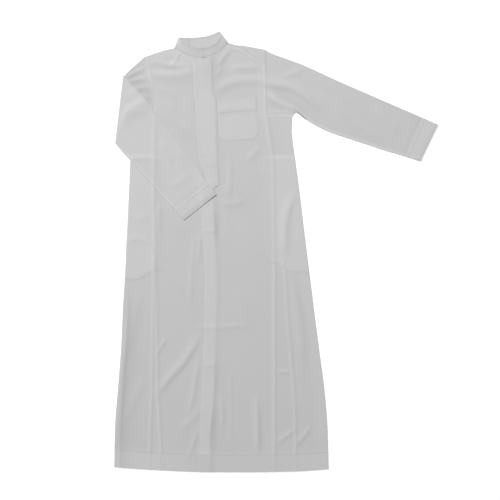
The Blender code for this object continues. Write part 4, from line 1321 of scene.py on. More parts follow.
@dataclass
class FrontPanels:
    """The two fronts, which meet at the centre seam under the placket."""

    gap: float = SEAM_HALF
    top_steps: tuple = (0.0, 0.8, 1.8, 3.0, 5.0, 8.0)
    edge_steps: tuple = (0.0, 0.8, 2.0, 3.0, 3.8, 4.6, 8.0, 15.0, 22.0, 29.0, 35.0)
    strip_steps: tuple = (37.6, 38.6, 39.6, 41.0, 44.0)
    strip_stitch_column: int = -5
    strip_stitch_row: int = 30

    def upper(self, side: str, share: np.ndarray) -> np.ndarray:
        """Rows between the top edge and the armpit's level.

        Args:
            side: "left" or "right".
            share: How far across each column is, from 0 to 1.

        Returns:
            Rows of points from left to right.
        """
        left_side = side == "left"
        sections = (LEFT_YOKE_SEAM, LEFT_NECKLINE) if left_side else (RIGHT_NECKLINE, RIGHT_YOKE_SEAM)
        joint = len(sections[0]) - 1
        index = share * (joint + len(sections[1]) - 1)
        first = flowing(range(len(sections[0])), sections[0], np.minimum(index, joint))
        second = flowing(range(len(sections[1])), sections[1], np.maximum(index - joint, 0))
        top = np.where((index <= joint)[:, None], first, second) - (0, self.gap)
        arm_end, middle_end = (0, -1) if left_side else (-1, 0)
        inwards = self.gap if left_side else -self.gap
        outer_y = top[arm_end, 1]
        drop = outer_y - ARMPIT_Y
        t = (spread(drop, self.top_steps, (0.0, STEP), step=STEP)[:-1] / drop)[:, None]
        arm_y = outer_y - drop * t
        middle_x, middle_y = top[middle_end]
        middle_x = middle_x + (float(LAY.line("centre", ARMPIT_Y)) - middle_x) * t - inwards
        middle_y = middle_y + (ARMPIT_Y - middle_y) * t
        ends = {
            arm_end: (LAY.armhole(side, arm_y) + inwards, arm_y),
            middle_end: (middle_x, middle_y),
        }
        for end, (end_x, end_y) in ends.items():
            top[end] = end_x[0, 0], end_y[0, 0]
        low_left, low_right = (float(LAY.line(name, ARMPIT_Y)) for name in FRONT_SIDES[side])
        low_x = low_left + self.gap + (low_right - low_left - 2 * self.gap) * share
        x = top[:, 0] + (low_x - top[:, 0]) * t
        y = top[:, 1] + (ARMPIT_Y - top[:, 1]) * t
        for end, (end_x, end_y) in ends.items():
            weight = share if end else 1 - share
            x, y = x + (end_x - x[:, [end]]) * weight, y + (end_y - y[:, [end]]) * weight
        return np.stack((x, y, LAY.front(x, y)), axis=-1)

    def shape(self, side: str) -> np.ndarray:
        """All rows of one front.

        Args:
            side: "left" or "right".

        Returns:
            Rows of points on its outer face.
        """
        right_steps = self.edge_steps + self.strip_steps if side == "left" else SEAM_STEPS
        lower = panel_rows(*FRONT_SIDES[side], SEAM_STEPS, right_steps)
        across = lower[0, :, 0] - lower[0, 0, 0]
        return np.concatenate((self.upper(side, across / across[-1]), lower), axis=0)

    def make(self, shop: Workshop) -> None:
        """Build and sew both fronts."""
        for side in FRONT_SIDES:
            points = self.shape(side)
            extra = len(points) - len(ROWS.levels()[0])
            hem = extra + ROWS.stitch_row()
            stitches = [points[hem], points[:extra, STITCH_COLUMN if side == "left" else -1 - STITCH_COLUMN]]
            if side == "left":
                stitches.append(points[extra + self.strip_stitch_row : hem, self.strip_stitch_column])
            piece = ClothPiece.on_body("front_" + side, points, rests_on=("back",))
            shop.sew(piece, [lifted(path) for path in stitches])


def panel_rows(left_name: str, right_name: str, left_steps: tuple, right_steps: tuple) -> np.ndarray:
    """Rows of a panel between two of the body's lines, from the armpit to the turned-up hem.

    Args:
        left_name: The body's line at its left.
        right_name: The body's line at its right.
        left_steps: Fine distances from its left side.
        right_steps: Fine distances from its right side.

    Returns:
        Rows of points on the outer face.
    """
    level, depth = ROWS.levels()
    left = LAY.line(left_name, level) + SEAM_HALF
    right = LAY.line(right_name, level) - SEAM_HALF
    x = left[:, None] + fixed_spread(right - left, left_steps, right_steps)
    y = LAY.level_y(level[:, None], x)
    return np.stack((x, y, LAY.front(x, y) - depth[:, None]), axis=-1)


@dataclass
class Gores:
    """Narrow wedges between the fronts and the side panels, from the pockets to the hem."""

    steps: tuple = SEAM_STEPS[:8]

    def make(self, shop: Workshop) -> None:
        """Build and sew both gores.

        Args:
            shop: Where the pieces are sewn.
        """
        stitch = ROWS.stitch_row()
        first = int(np.searchsorted(-ROWS.levels()[0][:stitch], -GORE_TOP_Y))
        for side, names in (("left", ("left_gore", "left_seam")), ("right", ("right_seam", "right_gore"))):
            points = panel_rows(*names, self.steps, self.steps)[first:]
            piece = ClothPiece.on_body("gore_" + side, points, rests_on=("back",))
            shop.sew(piece, [lifted(points[stitch - first])])


@dataclass
class SidePanels:
    """The side panels, which wrap round the robe's edges from the front seam to the back seam."""

    edge_steps: tuple = (0.0, 3.0)
    back_step: float = 10.0
    back_settles: float = 12.0

    def shape(self, side: str) -> np.ndarray:
        """One side panel: its front face, the roll at the edge, and its back face.

        Args:
            side: "left" or "right".

        Returns:
            Rows of points on its outer face.
        """
        sign = 1 if side == "right" else -1
        level, depth = ROWS.levels()
        edge = LAY.line(side + "_edge", level)
        edge_y = LAY.level_y(level, edge)
        radius = LAY.front(edge, edge_y) / 2
        back = LAY.line(side + "_seam", level) + sign * SEAM_HALF
        gore = LAY.line(side + "_gore", level) + sign * SEAM_HALF
        seam = np.where(level < GORE_TOP_Y + 1, gore, back)
        flat_end = edge - sign * radius
        x = seam[:, None] + sign * fixed_spread(np.abs(flat_end - seam), SEAM_STEPS, self.edge_steps)
        y = LAY.level_y(level[:, None], x)
        front = np.stack((x, y, LAY.front(x, y) - depth[:, None]), axis=-1)[:, :-1]
        angles = np.linspace(0, math.pi, ROLL_STEPS + 1)[None, :]
        wall_radius = (radius - depth)[:, None]
        roll = (
            flat_end[:, None] + sign * wall_radius * np.sin(angles),
            np.repeat(edge_y[:, None], angles.size, axis=1),
            radius[:, None] + wall_radius * np.cos(angles),
        )
        away = np.abs(flat_end - back)
        away = fixed_spread(away, self.edge_steps, SEAM_STEPS[:4], step=self.back_step)[:, 1:]
        x = flat_end[:, None] - sign * away
        y = LAY.level_y(level[:, None], x)
        lift = LAY.under(x, y) * smooth(away, 0, self.back_settles)
        under = np.stack((x, y, depth[:, None] + lift), axis=-1)
        rows = np.concatenate((front, np.stack(roll, axis=-1), under), axis=1)
        rows[0, :, 1] -= 2 * SEAM_HALF
        return rows if side == "right" else rows[:, ::-1]

    def make(self, shop: Workshop) -> None:
        """Build and sew both side panels."""
        for side in ("left", "right"):
            points = self.shape(side)
            piece = ClothPiece.on_body("side_panel_" + side, points, held=Held.FOLDED)
            shop.sew(piece, [lifted(points[ROWS.stitch_row(), 2:-2])])


@dataclass
class BackPanel:
    """The back, which lies on the floor with its outer face down."""

    columns: int = 44
    top_rows: int = 14
    rows: BodyRows = BodyRows(step=10.0)

    def make(self, shop: Workshop) -> None:
        """Build and sew the back.

        Args:
            shop: Where the pieces are sewn.
        """
        share = np.linspace(0, 1, self.columns + 1)
        t = np.arange(self.top_rows)[:, None] / self.top_rows
        right_y = BACK_YOKE_RIGHT_Y - SEAM_HALF + (ARMPIT_Y - BACK_YOKE_RIGHT_Y + SEAM_HALF) * t
        left_y = BACK_YOKE_LEFT_Y - SEAM_HALF + (ARMPIT_Y - BACK_YOKE_LEFT_Y + SEAM_HALF) * t
        right = LAY.armhole("right", right_y) - SEAM_HALF
        left = LAY.armhole("left", left_y) + SEAM_HALF
        x = right + (left - right) * share
        y = right_y + (left_y - right_y) * share
        upper = np.stack((x, y, LAY.under(x, y)), axis=-1)
        level, depth = (row[:, None] for row in self.rows.levels())
        right = LAY.line("right_seam", level) - SEAM_HALF
        left = LAY.line("left_seam", level) + SEAM_HALF
        x = right + (left - right) * share
        y = LAY.level_y(level, x)
        lower = np.stack((x, y, depth + LAY.under(x, y) * (depth < 0.1)), axis=-1)
        points = np.concatenate((upper, lower), axis=0)
        stitch = self.top_rows + self.rows.stitch_row()
        shop.sew(ClothPiece("back", points), [lifted(points[stitch], -STITCH_OUT)])


@dataclass
class Yoke:
    """The yoke: its back lies on the floor and its two shoulders roll over to the front."""

    back_rows: int = 12
    columns: tuple = (19, 25, 22)
    flap_steps: tuple = (0.0, 0.8, 1.8, 3.2, 4.6, 5.4, 6.2, 8.0)

    def make(self, shop: Workshop) -> None:
        """Build and sew the yoke.

        Args:
            shop: Where the pieces are sewn.
        """
        left_flap = len(LEFT_SHOULDER) - 1
        right_flap = left_flap + len(BACK_NECKLINE) - 1
        last = right_flap + len(RIGHT_SHOULDER) - 1
        left = np.linspace(0, left_flap, self.columns[0])
        neck = np.linspace(left_flap, right_flap, self.columns[1])[1:-1]
        index = np.concatenate((left, neck, np.linspace(right_flap, last, self.columns[2])))
        first_absent, end_absent = len(left) - 1, len(left) + len(neck)
        low_ends = [LAY.armhole("left", BACK_YOKE_LEFT_Y), LAY.armhole("right", BACK_YOKE_RIGHT_Y)]
        low_x = np.interp(index, [0, last], np.array(low_ends, float))
        low_y = BACK_YOKE_LEFT_Y + (BACK_YOKE_RIGHT_Y - BACK_YOKE_LEFT_Y) * index / last + SEAM_HALF
        columns = []
        for i, low in zip(index, np.column_stack((low_x, low_y))):
            if i <= left_flap:
                paths, at = (LEFT_SHOULDER, LEFT_YOKE_SEAM), i
            elif i >= right_flap:
                paths, at = (RIGHT_SHOULDER, RIGHT_YOKE_SEAM), i - right_flap
            else:
                paths, at = (BACK_NECKLINE,), i - left_flap
            shoulder, *seam = [flowing(range(len(path)), path, np.array([at]))[0] for path in paths]
            column = self.flap_column(low, shoulder, *seam) if seam else self.neck_column(low, shoulder)
            columns.append(column)
        points = np.array(columns).transpose(1, 0, 2)
        points[:, 0, 0] += 2 * SEAM_HALF
        points[:, -1, 0] -= 2 * SEAM_HALF
        rows = len(points)
        absent = np.zeros((rows - 1, len(index) - 1), dtype=bool)
        absent[self.back_rows - 1 :, first_absent:end_absent] = True
        stitch = points[-1 - STITCH_COLUMN]
        stitches = [lifted(stitch[:first_absent]), lifted(stitch[end_absent + 1 :])]
        stitches.append(lifted(points[1], -STITCH_OUT))
        from_seam = np.linalg.norm(points - points[-1:], axis=2)
        in_front = (np.arange(rows) >= self.back_rows + ROLL_STEPS)[:, None]
        # Painted shade on the lines beside the yoke's front seam
        lines = in_front * (0.3 * fine_line(from_seam - 1.4, 1.4) + 0.18 * fine_line(from_seam - 5.4, 0.9))
        # Lighter towards the yoke's left
        layers = 0.35 * (1 - smooth(points[..., 0], -260, -180))
        piece = ClothPiece("yoke", points, absent=absent, layers=layers, lines=lines, held=Held.FOLDED)
        shop.sew(piece, stitches)

    def back(self, low: np.ndarray, end: np.ndarray) -> np.ndarray:
        """The part of a column that lies on the floor."""
        flat = low + (end - low) * np.linspace(0, 1, self.back_rows)[:, None]
        return np.column_stack((flat, np.zeros(self.back_rows)))

    def neck_column(self, low: np.ndarray, neckline: np.ndarray) -> np.ndarray:
        """One column at the neck. It ends at the neckline, where its last point is repeated."""
        flat = self.back(low, neckline - (0, SEAM_HALF))
        return np.concatenate((flat, np.repeat(flat[-1:], ROLL_STEPS + len(self.flap_steps) + 1, axis=0)))

    def flap_column(self, low: np.ndarray, shoulder: np.ndarray, seam: np.ndarray) -> np.ndarray:
        """One column from the yoke's low edge at the back, over the shoulder, to its seam in front.

        Args:
            low: The low end at the back.
            shoulder: The outline's point.
            seam: The point on the front seam.

        Returns:
            The column's points.
        """
        radius = float(LAY.front(shoulder[0], shoulder[1], seams=False)) / 2
        out = (shoulder - seam) / np.linalg.norm(shoulder - seam)
        start = shoulder - out * radius - (0, SEAM_HALF)
        angles = np.linspace(0, math.pi, ROLL_STEPS + 1)[1:]
        roll = start[None, :] + out[None, :] * (radius * np.sin(angles))[:, None]
        rolled = np.column_stack((roll, radius - radius * np.cos(angles)))
        end = seam + (0, SEAM_HALF)
        length = np.linalg.norm(end - start)
        places = spread(length, (0.0, min(2.0, length / 6)), self.flap_steps, step=math.inf)
        share = places[1:] / length
        flap = start[None, :] + (end - start)[None, :] * share[:, None]
        height = 2 * radius + (LAY.front(flap[:, 0], flap[:, 1]) - 2 * radius) * smooth(share, 0.0, 0.3)
        return np.concatenate((self.back(low, start), rolled, np.column_stack((flap, height))))


@dataclass
class Tube:
    """A flattened tube, such as a sleeve: front paths over it and back paths under it."""

    front: np.ndarray
    back: np.ndarray

    def rings(self, thickness_at: object) -> tuple:
        """Points all round each ring.

        Args:
            thickness_at: Gives the tube's thickness at x and y.

        Returns:
            x, y, height over the tube's underside, and thickness, for each point of each ring.
        """
        parts = []
        for path, upper in ((self.front, True), (self.back, False)):
            ends = path[:, [0, -1]]
            nearby = path[:, [1, -2]]
            outs = ends - nearby
            outs = outs / np.linalg.norm(outs, axis=2, keepdims=True)
            radii = thickness_at(ends[..., 0], ends[..., 1]) / 2
            inner = ends - outs * radii[..., None]
            flat = np.concatenate((inner[:, :1], path[:, 1:-1]), axis=1)
            thick = thickness_at(flat[..., 0], flat[..., 1])
            thick[:, 0] = 2 * radii[:, 0]
            height = thick if upper else np.zeros_like(thick)
            parts.append(np.stack((flat[..., 0], flat[..., 1], height, thick), axis=-1))
            angles = np.linspace(0, math.pi, ROLL_STEPS + 1)[:-1][None, :]
            radius = radii[:, 1:]
            lift = radius * np.cos(angles) * (1 if upper else -1)
            reach = radius * np.sin(angles)
            roll = inner[:, 1:] + outs[:, 1:] * reach[..., None]
            parts.append(
                np.stack(
                    (roll[..., 0], roll[..., 1], radius + lift, np.repeat(2 * radius, angles.size, axis=1)),
                    axis=-1,
                )
            )
        both = np.concatenate(parts, axis=1)
        return both[..., 0], both[..., 1], both[..., 2], both[..., 3]


# Shares across a sleeve. The armhole turns its corners at an eighth and at three quarters.
SLEEVE_ACROSS = np.concatenate(
    ([0.0, 0.012, 0.025, 0.045, 0.07], np.linspace(0.1, 0.9, 33), [0.93, 0.955, 0.975, 0.988, 1.0])
)


def ring_paths(ring: Ring, share: np.ndarray) -> tuple:
    """A ring's straight paths: over the tube from its top edge, and back under it.

    Args:
        ring: A section of a sleeve.
        share: How far across it each point is, from 0 to 1.

    Returns:
        The front path and the back path.
    """
    top, low = np.array(ring[:2]), np.array(ring[2:])
    front = top + (low - top) * share[:, None]
    return front, front[::-1]


def armhole_paths(side: str) -> tuple:
    """The sleeve's first ring: down the armhole, and along the side panel's top to the armpit.

    Args:
        side: "left" or "right".

    Returns:
        The front path and the back path.
    """
    right = side == "right"
    gap = SEAM_HALF if right else -SEAM_HALF
    shoulder = RIGHT_SHOULDER[-1] if right else LEFT_SHOULDER[0]
    front_y = (RIGHT_YOKE_SEAM[-1] if right else LEFT_YOKE_SEAM[0])[1]
    back_y = BACK_YOKE_RIGHT_Y if right else BACK_YOKE_LEFT_Y
    armpit = (float(LAY.line(side + "_edge", ARMPIT_Y)), ARMPIT_Y)
    made = []
    for seam_y in (front_y, back_y):
        down = [(float(LAY.armhole(side, y)), y) for y in np.linspace(seam_y, ARMPIT_Y, 6)]
        half = ((down[-1][0] + armpit[0]) / 2, ARMPIT_Y)
        path = np.array([shoulder] + down + [half, armpit])
        knots = range(len(path))
        x, y = (np.interp(SLEEVE_ACROSS * knots[-1], knots, values) for values in path.T)
        made.append(np.column_stack((x + gap, y)))
    return made[0], made[1][::-1]


def sleeve_paths(stations: list, step: float) -> tuple:
    """Smooth front and back paths between a sleeve's stations.

    Args:
        stations: (front path, back path) at each station.
        step: About how far apart the rings are.

    Returns:
        Front paths and back paths.
    """
    fronts = np.array([front for front, _ in stations])
    backs = np.array([back for _, back in stations])
    middles = fronts.mean(axis=1)
    knots = np.concatenate(([0.0], np.cumsum(np.linalg.norm(np.diff(middles, axis=0), axis=1))))
    at = np.linspace(0, knots[-1], max(int(round(knots[-1] / step)), 1) + 1)
    return flowing(knots, fronts, at), flowing(knots, backs, at)


def from_sleeve_end(x: np.ndarray, y: np.ndarray, end: Ring) -> np.ndarray:
    """How far a place is from a sleeve's end.

    Args:
        x: Places across the robe, in mm.
        y: Places along the robe, in mm.
        end: The sleeve's last section.

    Returns:
        The distances, in mm.
    """
    run = np.array([end.low_x - end.top_x, end.low_y - end.top_y])
    run = run / np.linalg.norm(run)
    return np.abs((x - end.top_x) * run[1] - (y - end.top_y) * run[0])


def sleeve_layers(points: np.ndarray, rings: list, end: Ring, amount: float) -> np.ndarray:
    """Where a sleeve's cloth is doubled, along its underarm seam, at the cuff and at the armpit, with a
    painted highlight on a fold by the armpit.

    Args:
        points: The sleeve's points.
        rings: Its sections, from the shoulder to the cuff.
        end: Its last section.
        amount: How much the rest of it is doubled.

    Returns:
        An amount for each point.
    """
    x, y = points[..., 0], points[..., 1]
    lows = np.array(sorted((ring.low_x, ring.low_y) for ring in rings))
    slope = abs(np.polyfit(lows[:, 0], lows[:, 1], 1)[0])
    above_low = (y - np.interp(x, lows[:, 0], lows[:, 1])) / math.hypot(1.0, slope)
    armpit = band(y, ARMPIT_Y - 5, ARMPIT_Y + 8) * (points[..., 2] > 1.0) * (np.abs(x - 10) < 50)
    shown = (
        np.full(x.shape, amount),
        0.8 * band(above_low, 3.0, 8.5),
        0.5 * (1 - smooth(from_sleeve_end(x, y, end), 8.0, 10.0)),
        0.6 * armpit,
        # Painted highlight on the fold beside the armpit
        crease_height(ARMPIT_PAINTED_HIGHLIGHT, x, y),
    )
    return np.maximum.reduce(shown)


def sleeve_lines(points: np.ndarray, end: Ring) -> np.ndarray:
    """Painted shade on a sleeve: thin darker lines at its armhole and its cuff, and painted shadow in the
    armpit's folds.

    Args:
        points: The sleeve's points.
        end: The sleeve's last section.

    Returns:
        How dark it is at each point.
    """
    x, y = points[..., 0], points[..., 1]
    from_end = from_sleeve_end(x, y, end)
    shown = (
        0.18 * fine_line(from_end - 11.0, 1.8),
        0.08 * (1 - smooth(from_end, 10.0, 30.0)) * (from_end > 9),
        LAY.painted_body_shade(x, y) * (y > ARMPIT_Y) * (points[..., 2] > 1.0),
    )
    # Painted shadow deep in the fold at the armpit
    right, up = x - ARMPIT_HOLLOW[0], y - ARMPIT_HOLLOW[1]
    fold = np.hypot(right / 19, (up + 0.85 * right) / 4.6)
    return np.maximum.reduce(shown) + creases_height(ARMPIT_PAINTED_SHADES, x, y) + 2.3 * np.exp(-(fold**4))


def along_sleeve(first: Ring, second: Ring, distance: float) -> Ring:
    """A ring this far past the first one, towards the second.

    Args:
        first: The section it starts from.
        second: The section it goes towards.
        distance: How far along it is, in mm.

    Returns:
        The new section.
    """
    a, b = np.array(first, float), np.array(second, float)
    length = float(np.linalg.norm((b[:2] + b[2:] - a[:2] - a[2:]) / 2))
    return Ring(*(a + (b - a) * distance / length))


@dataclass
class StraightSleeve:
    """The sleeve on the viewer's right, which lies out to the side, and its cuff."""

    step: float = 4.5
    cuff_closing: float = 0.4

    def place(self, tube: Tube, extra: float) -> np.ndarray:
        """Lay a tube on the floor.

        Args:
            tube: The flattened tube.
            extra: How much thicker it is than the plain sleeve.

        Returns:
            Rows of points all round it.
        """
        x, y, height, thick = tube.rings(lambda x, y: LAY.front(x, y) + extra)
        under = LAY.under(x, y) * smooth(thick - height, 0.6 * FRONT_TOP, FRONT_TOP) * 0.8
        return np.stack((x, y, height + under), axis=-1)

    def make(self, shop: Workshop) -> None:
        """Build and sew the sleeve and its cuff.

        Args:
            shop: Where the pieces are sewn.
        """
        end = along_sleeve(STRAIGHT_SLEEVE[-1], STRAIGHT_CUFF_END, -SEAM_HALF)
        stations = [armhole_paths("right")]
        stations += [ring_paths(ring, SLEEVE_ACROSS) for ring in STRAIGHT_SLEEVE[:-1] + [end]]
        points = self.place(Tube(*sleeve_paths(stations, self.step)), 0.0)[:, ::-1]
        layers = sleeve_layers(points, STRAIGHT_SLEEVE, end, 0.0)
        # Painted shade on the sleeve
        lines = sleeve_lines(points, end)
        shop.sew(ClothPiece("sleeve_right", points, closed=True, layers=layers, lines=lines), [])
        ends = (STRAIGHT_SLEEVE[-1], STRAIGHT_CUFF_END)
        sew_cuff(shop, "cuff_right", ends, self.place, self.cuff_closing, turned=True)


CUFF_STEPS = (0.0, 0.4, 1.0, 1.8, 2.6, 3.4, 4.2, 5.0, 7.0, 10.0)


def sew_cuff(
    shop: Workshop,
    node: str,
    ends: tuple,
    place: object,
    closing: float,
    turned: bool = False,
    **more: object,
) -> None:
    """Shape a cuff and sew it with its two rows of stitches.

    Args:
        shop: Where it is sewn.
        node: The cuff's name.
        ends: The ring at the cuff's seam and the ring at its open end.
        place: Lays a tube of a given extra thickness where it belongs.
        closing: How far its two sides come together at its end.
        turned: Whether its columns run the other way, so that its cloth faces out.
        more: How the piece is held, and what it rests on.
    """
    length = math.dist(*[((ring.top_x + ring.low_x) / 2, (ring.top_y + ring.low_y) / 2) for ring in ends])
    length -= SEAM_HALF
    at = spread(length, CUFF_STEPS, CUFF_STEPS, step=5.0)
    paths = [ring_paths(along_sleeve(*ends, SEAM_HALF + d), SLEEVE_ACROSS) for d in at]
    points = place(Tube(np.array([p for p, _ in paths]), np.array([p for _, p in paths])), CUFF_STEP)
    to_end = length - at
    middle_z = points[..., 2].mean(axis=1, keepdims=True)
    round_off = 0.45 * fine_line(at, 1.6) + 0.2 * fine_line(np.minimum(at, to_end) - 4.2, 0.7)
    closed = round_off + 2 * closing * (1 - smooth(to_end, 0.0, 16.0))
    # Painted shade on the stitch lines and at the seam end
    lines = 0.5 * fine_line(at - 4.2) + 0.2 * fine_line(to_end - 4.2) + 0.25 * fine_line(at, 1.2)
    lines = np.repeat(lines[:, None], points.shape[1], axis=1)
    points[..., 2] -= np.where(points[..., 2] > middle_z, closed[:, None], -round_off[:, None])
    stitches = []
    for row in (EDGE_STITCH, -1 - EDGE_STITCH):
        ring = np.concatenate((points[row], points[row, :1]))
        ring[:, 2] += np.sign(ring[:, 2] - middle_z[row]) * STITCH_OUT
        stitches.append(ring)
    layers = np.full(lines.shape, STIFF_TONE)
    look = {"slot": Slot.STIFF, "wall": 0.6, "closed": True, "layers": layers, "lines": lines}
    points = points[:, ::-1] if turned else points
    shop.sew(ClothPiece(node, points, **look, **more), stitches)


@dataclass
class FoldedSleeve:
    """The sleeve on the viewer's left: out to the fold, over it, and back across the chest."""

    step: float = STEP
    fold_steps: int = 8
    calm_reach: float = 26.0
    doubled: float = 0.3
    cuff_closing: float = 0.5

    def axis(self) -> tuple:
        """The fold's axis ring and the unit direction into the sleeve.

        Returns:
            The axis and the direction.
        """
        run = (FOLD_LINE.top_x - FOLD_LINE.low_x, FOLD_LINE.top_y - FOLD_LINE.low_y)
        length = math.hypot(*run)
        inwards = np.array([run[1] / length, -run[0] / length])
        reach = FOLD_INNER_RADIUS + FRONT_TOP
        return Ring(*(np.array(FOLD_LINE) + np.tile(inwards, 2) * reach)), inwards

    def settled(self, x: np.ndarray, y: np.ndarray) -> np.ndarray:
        """0 at the fold's axis, and 1 once the sleeve has settled beside it.

        Args:
            x: Places across the robe, in mm.
            y: Places along the robe, in mm.

        Returns:
            A share for each place.
        """
        axis, inwards = self.axis()
        from_fold = (x - axis.top_x) * inwards[0] + (y - axis.top_y) * inwards[1]
        return smooth(from_fold, 0.0, self.calm_reach)

    def upper_thickness(self, x: np.ndarray, y: np.ndarray) -> np.ndarray:
        """The upper part's thickness, which is even where it folds."""
        return FRONT_TOP + (LAY.front(x, y) - FRONT_TOP) * self.settled(x, y)

    def clearance(self, x: np.ndarray, y: np.ndarray) -> np.ndarray:
        """The folded sleeve's end lies on the placket, a cloth's thickness higher."""
        return (SOLID_WALL + LAY_GAP) * smooth(x, -270, -236) * smooth(y, 140, 200)

    def forearm(self, tube: Tube, extra: float) -> np.ndarray:
        """Lay the folded part on the chest, with the sleeve's back face up.

        Args:
            tube: The flattened tube.
            extra: How much thicker it is than the plain sleeve.

        Returns:
            Rows of points all round it.
        """
        x, y, height, thick = tube.rings(lambda x, y: np.full(np.shape(x), FRONT_TOP + extra))
        settled = self.settled(x, y)
        lowest = FRONT_TOP + 2 * FOLD_INNER_RADIUS
        under = np.maximum(LAY.front(x, y), FRONT_TOP) + FOREARM_CLEAR + self.clearance(x, y)
        under = under - 0.4 * smooth(-y, -240, -160)
        under = lowest + (under - lowest) * settled
        relief = creases_height(FOREARM_CREASES, x, y) + 1.3 * LAY.ripple(x + 400, y)
        lift = np.maximum(relief, -1.2) * np.clip(1 - height / thick, 0, 1) * settled
        return np.stack((x, y, under + thick - height + lift), axis=-1)

    def fold(self, axis: Ring, inwards: np.ndarray) -> np.ndarray:
        """The rings that turn over the fold's axis.

        Args:
            axis: The fold's axis.
            inwards: The direction into the sleeve.

        Returns:
            The points of each ring.
        """
        front, back = (path[None] for path in ring_paths(axis, SLEEVE_ACROSS))
        x, y, height, thick = Tube(front, back).rings(lambda x, y: np.full(x.shape, FRONT_TOP))
        angles = np.linspace(0, math.pi, self.fold_steps + 1)[1:-1, None]
        radius = FOLD_INNER_RADIUS + thick - height
        out = radius * np.sin(angles)
        z = FRONT_TOP + FOLD_INNER_RADIUS - radius * np.cos(angles)
        return np.stack((x - inwards[0] * out, y - inwards[1] * out, z), axis=-1)

    def make(self, shop: Workshop) -> None:
        """Build and sew the sleeve and its cuff.

        Args:
            shop: Where the pieces are sewn.
        """
        axis, inwards = self.axis()
        stations = [armhole_paths("left")]
        stations += [ring_paths(ring, SLEEVE_ACROSS) for ring in FOLDED_SLEEVE_UPPER + [axis]]
        upper = Tube(*sleeve_paths(stations, self.step)).rings(self.upper_thickness)
        upper = np.stack(upper[:3], axis=-1)
        folds = self.fold(axis, inwards)
        end = along_sleeve(FOLDED_SLEEVE_LOWER[-1], FOLDED_CUFF_END, -SEAM_HALF)
        stations = [ring_paths(ring, SLEEVE_ACROSS) for ring in [axis] + FOLDED_SLEEVE_LOWER[:-1] + [end]]
        lower = self.forearm(Tube(*sleeve_paths(stations, self.step)), 0.0)
        # Painted shade on the upper arm and the forearm, none on the fold
        lines = (
            LAY.painted_body_shade(upper[..., 0], upper[..., 1]) * (upper[..., 2] > 1.0),
            np.zeros(folds.shape[:2]),
            sleeve_lines(lower, end),
        )
        layers = (
            sleeve_layers(upper, [FOLDED_SLEEVE_UPPER[0], FOLD_LINE], end, 0.0),
            np.full(folds.shape[:2], self.doubled),
            sleeve_layers(lower, FOLDED_SLEEVE_LOWER, end, self.doubled),
        )
        piece = ClothPiece(
            "sleeve_left",
            np.concatenate((upper, folds, lower)),
            layers=np.concatenate(layers),
            lines=np.concatenate(lines),
            closed=True,
            held=Held.FOLDED,
            rests_on=("front_left", "side_panel_left"),
        )
        shop.sew(piece, [])
        ends = (FOLDED_SLEEVE_LOWER[-1], FOLDED_CUFF_END)
        held = {"held": Held.FOLDED, "rests_on": ("front_left", "placket")}
        sew_cuff(shop, "cuff_left", ends, self.forearm, self.cuff_closing, **held)


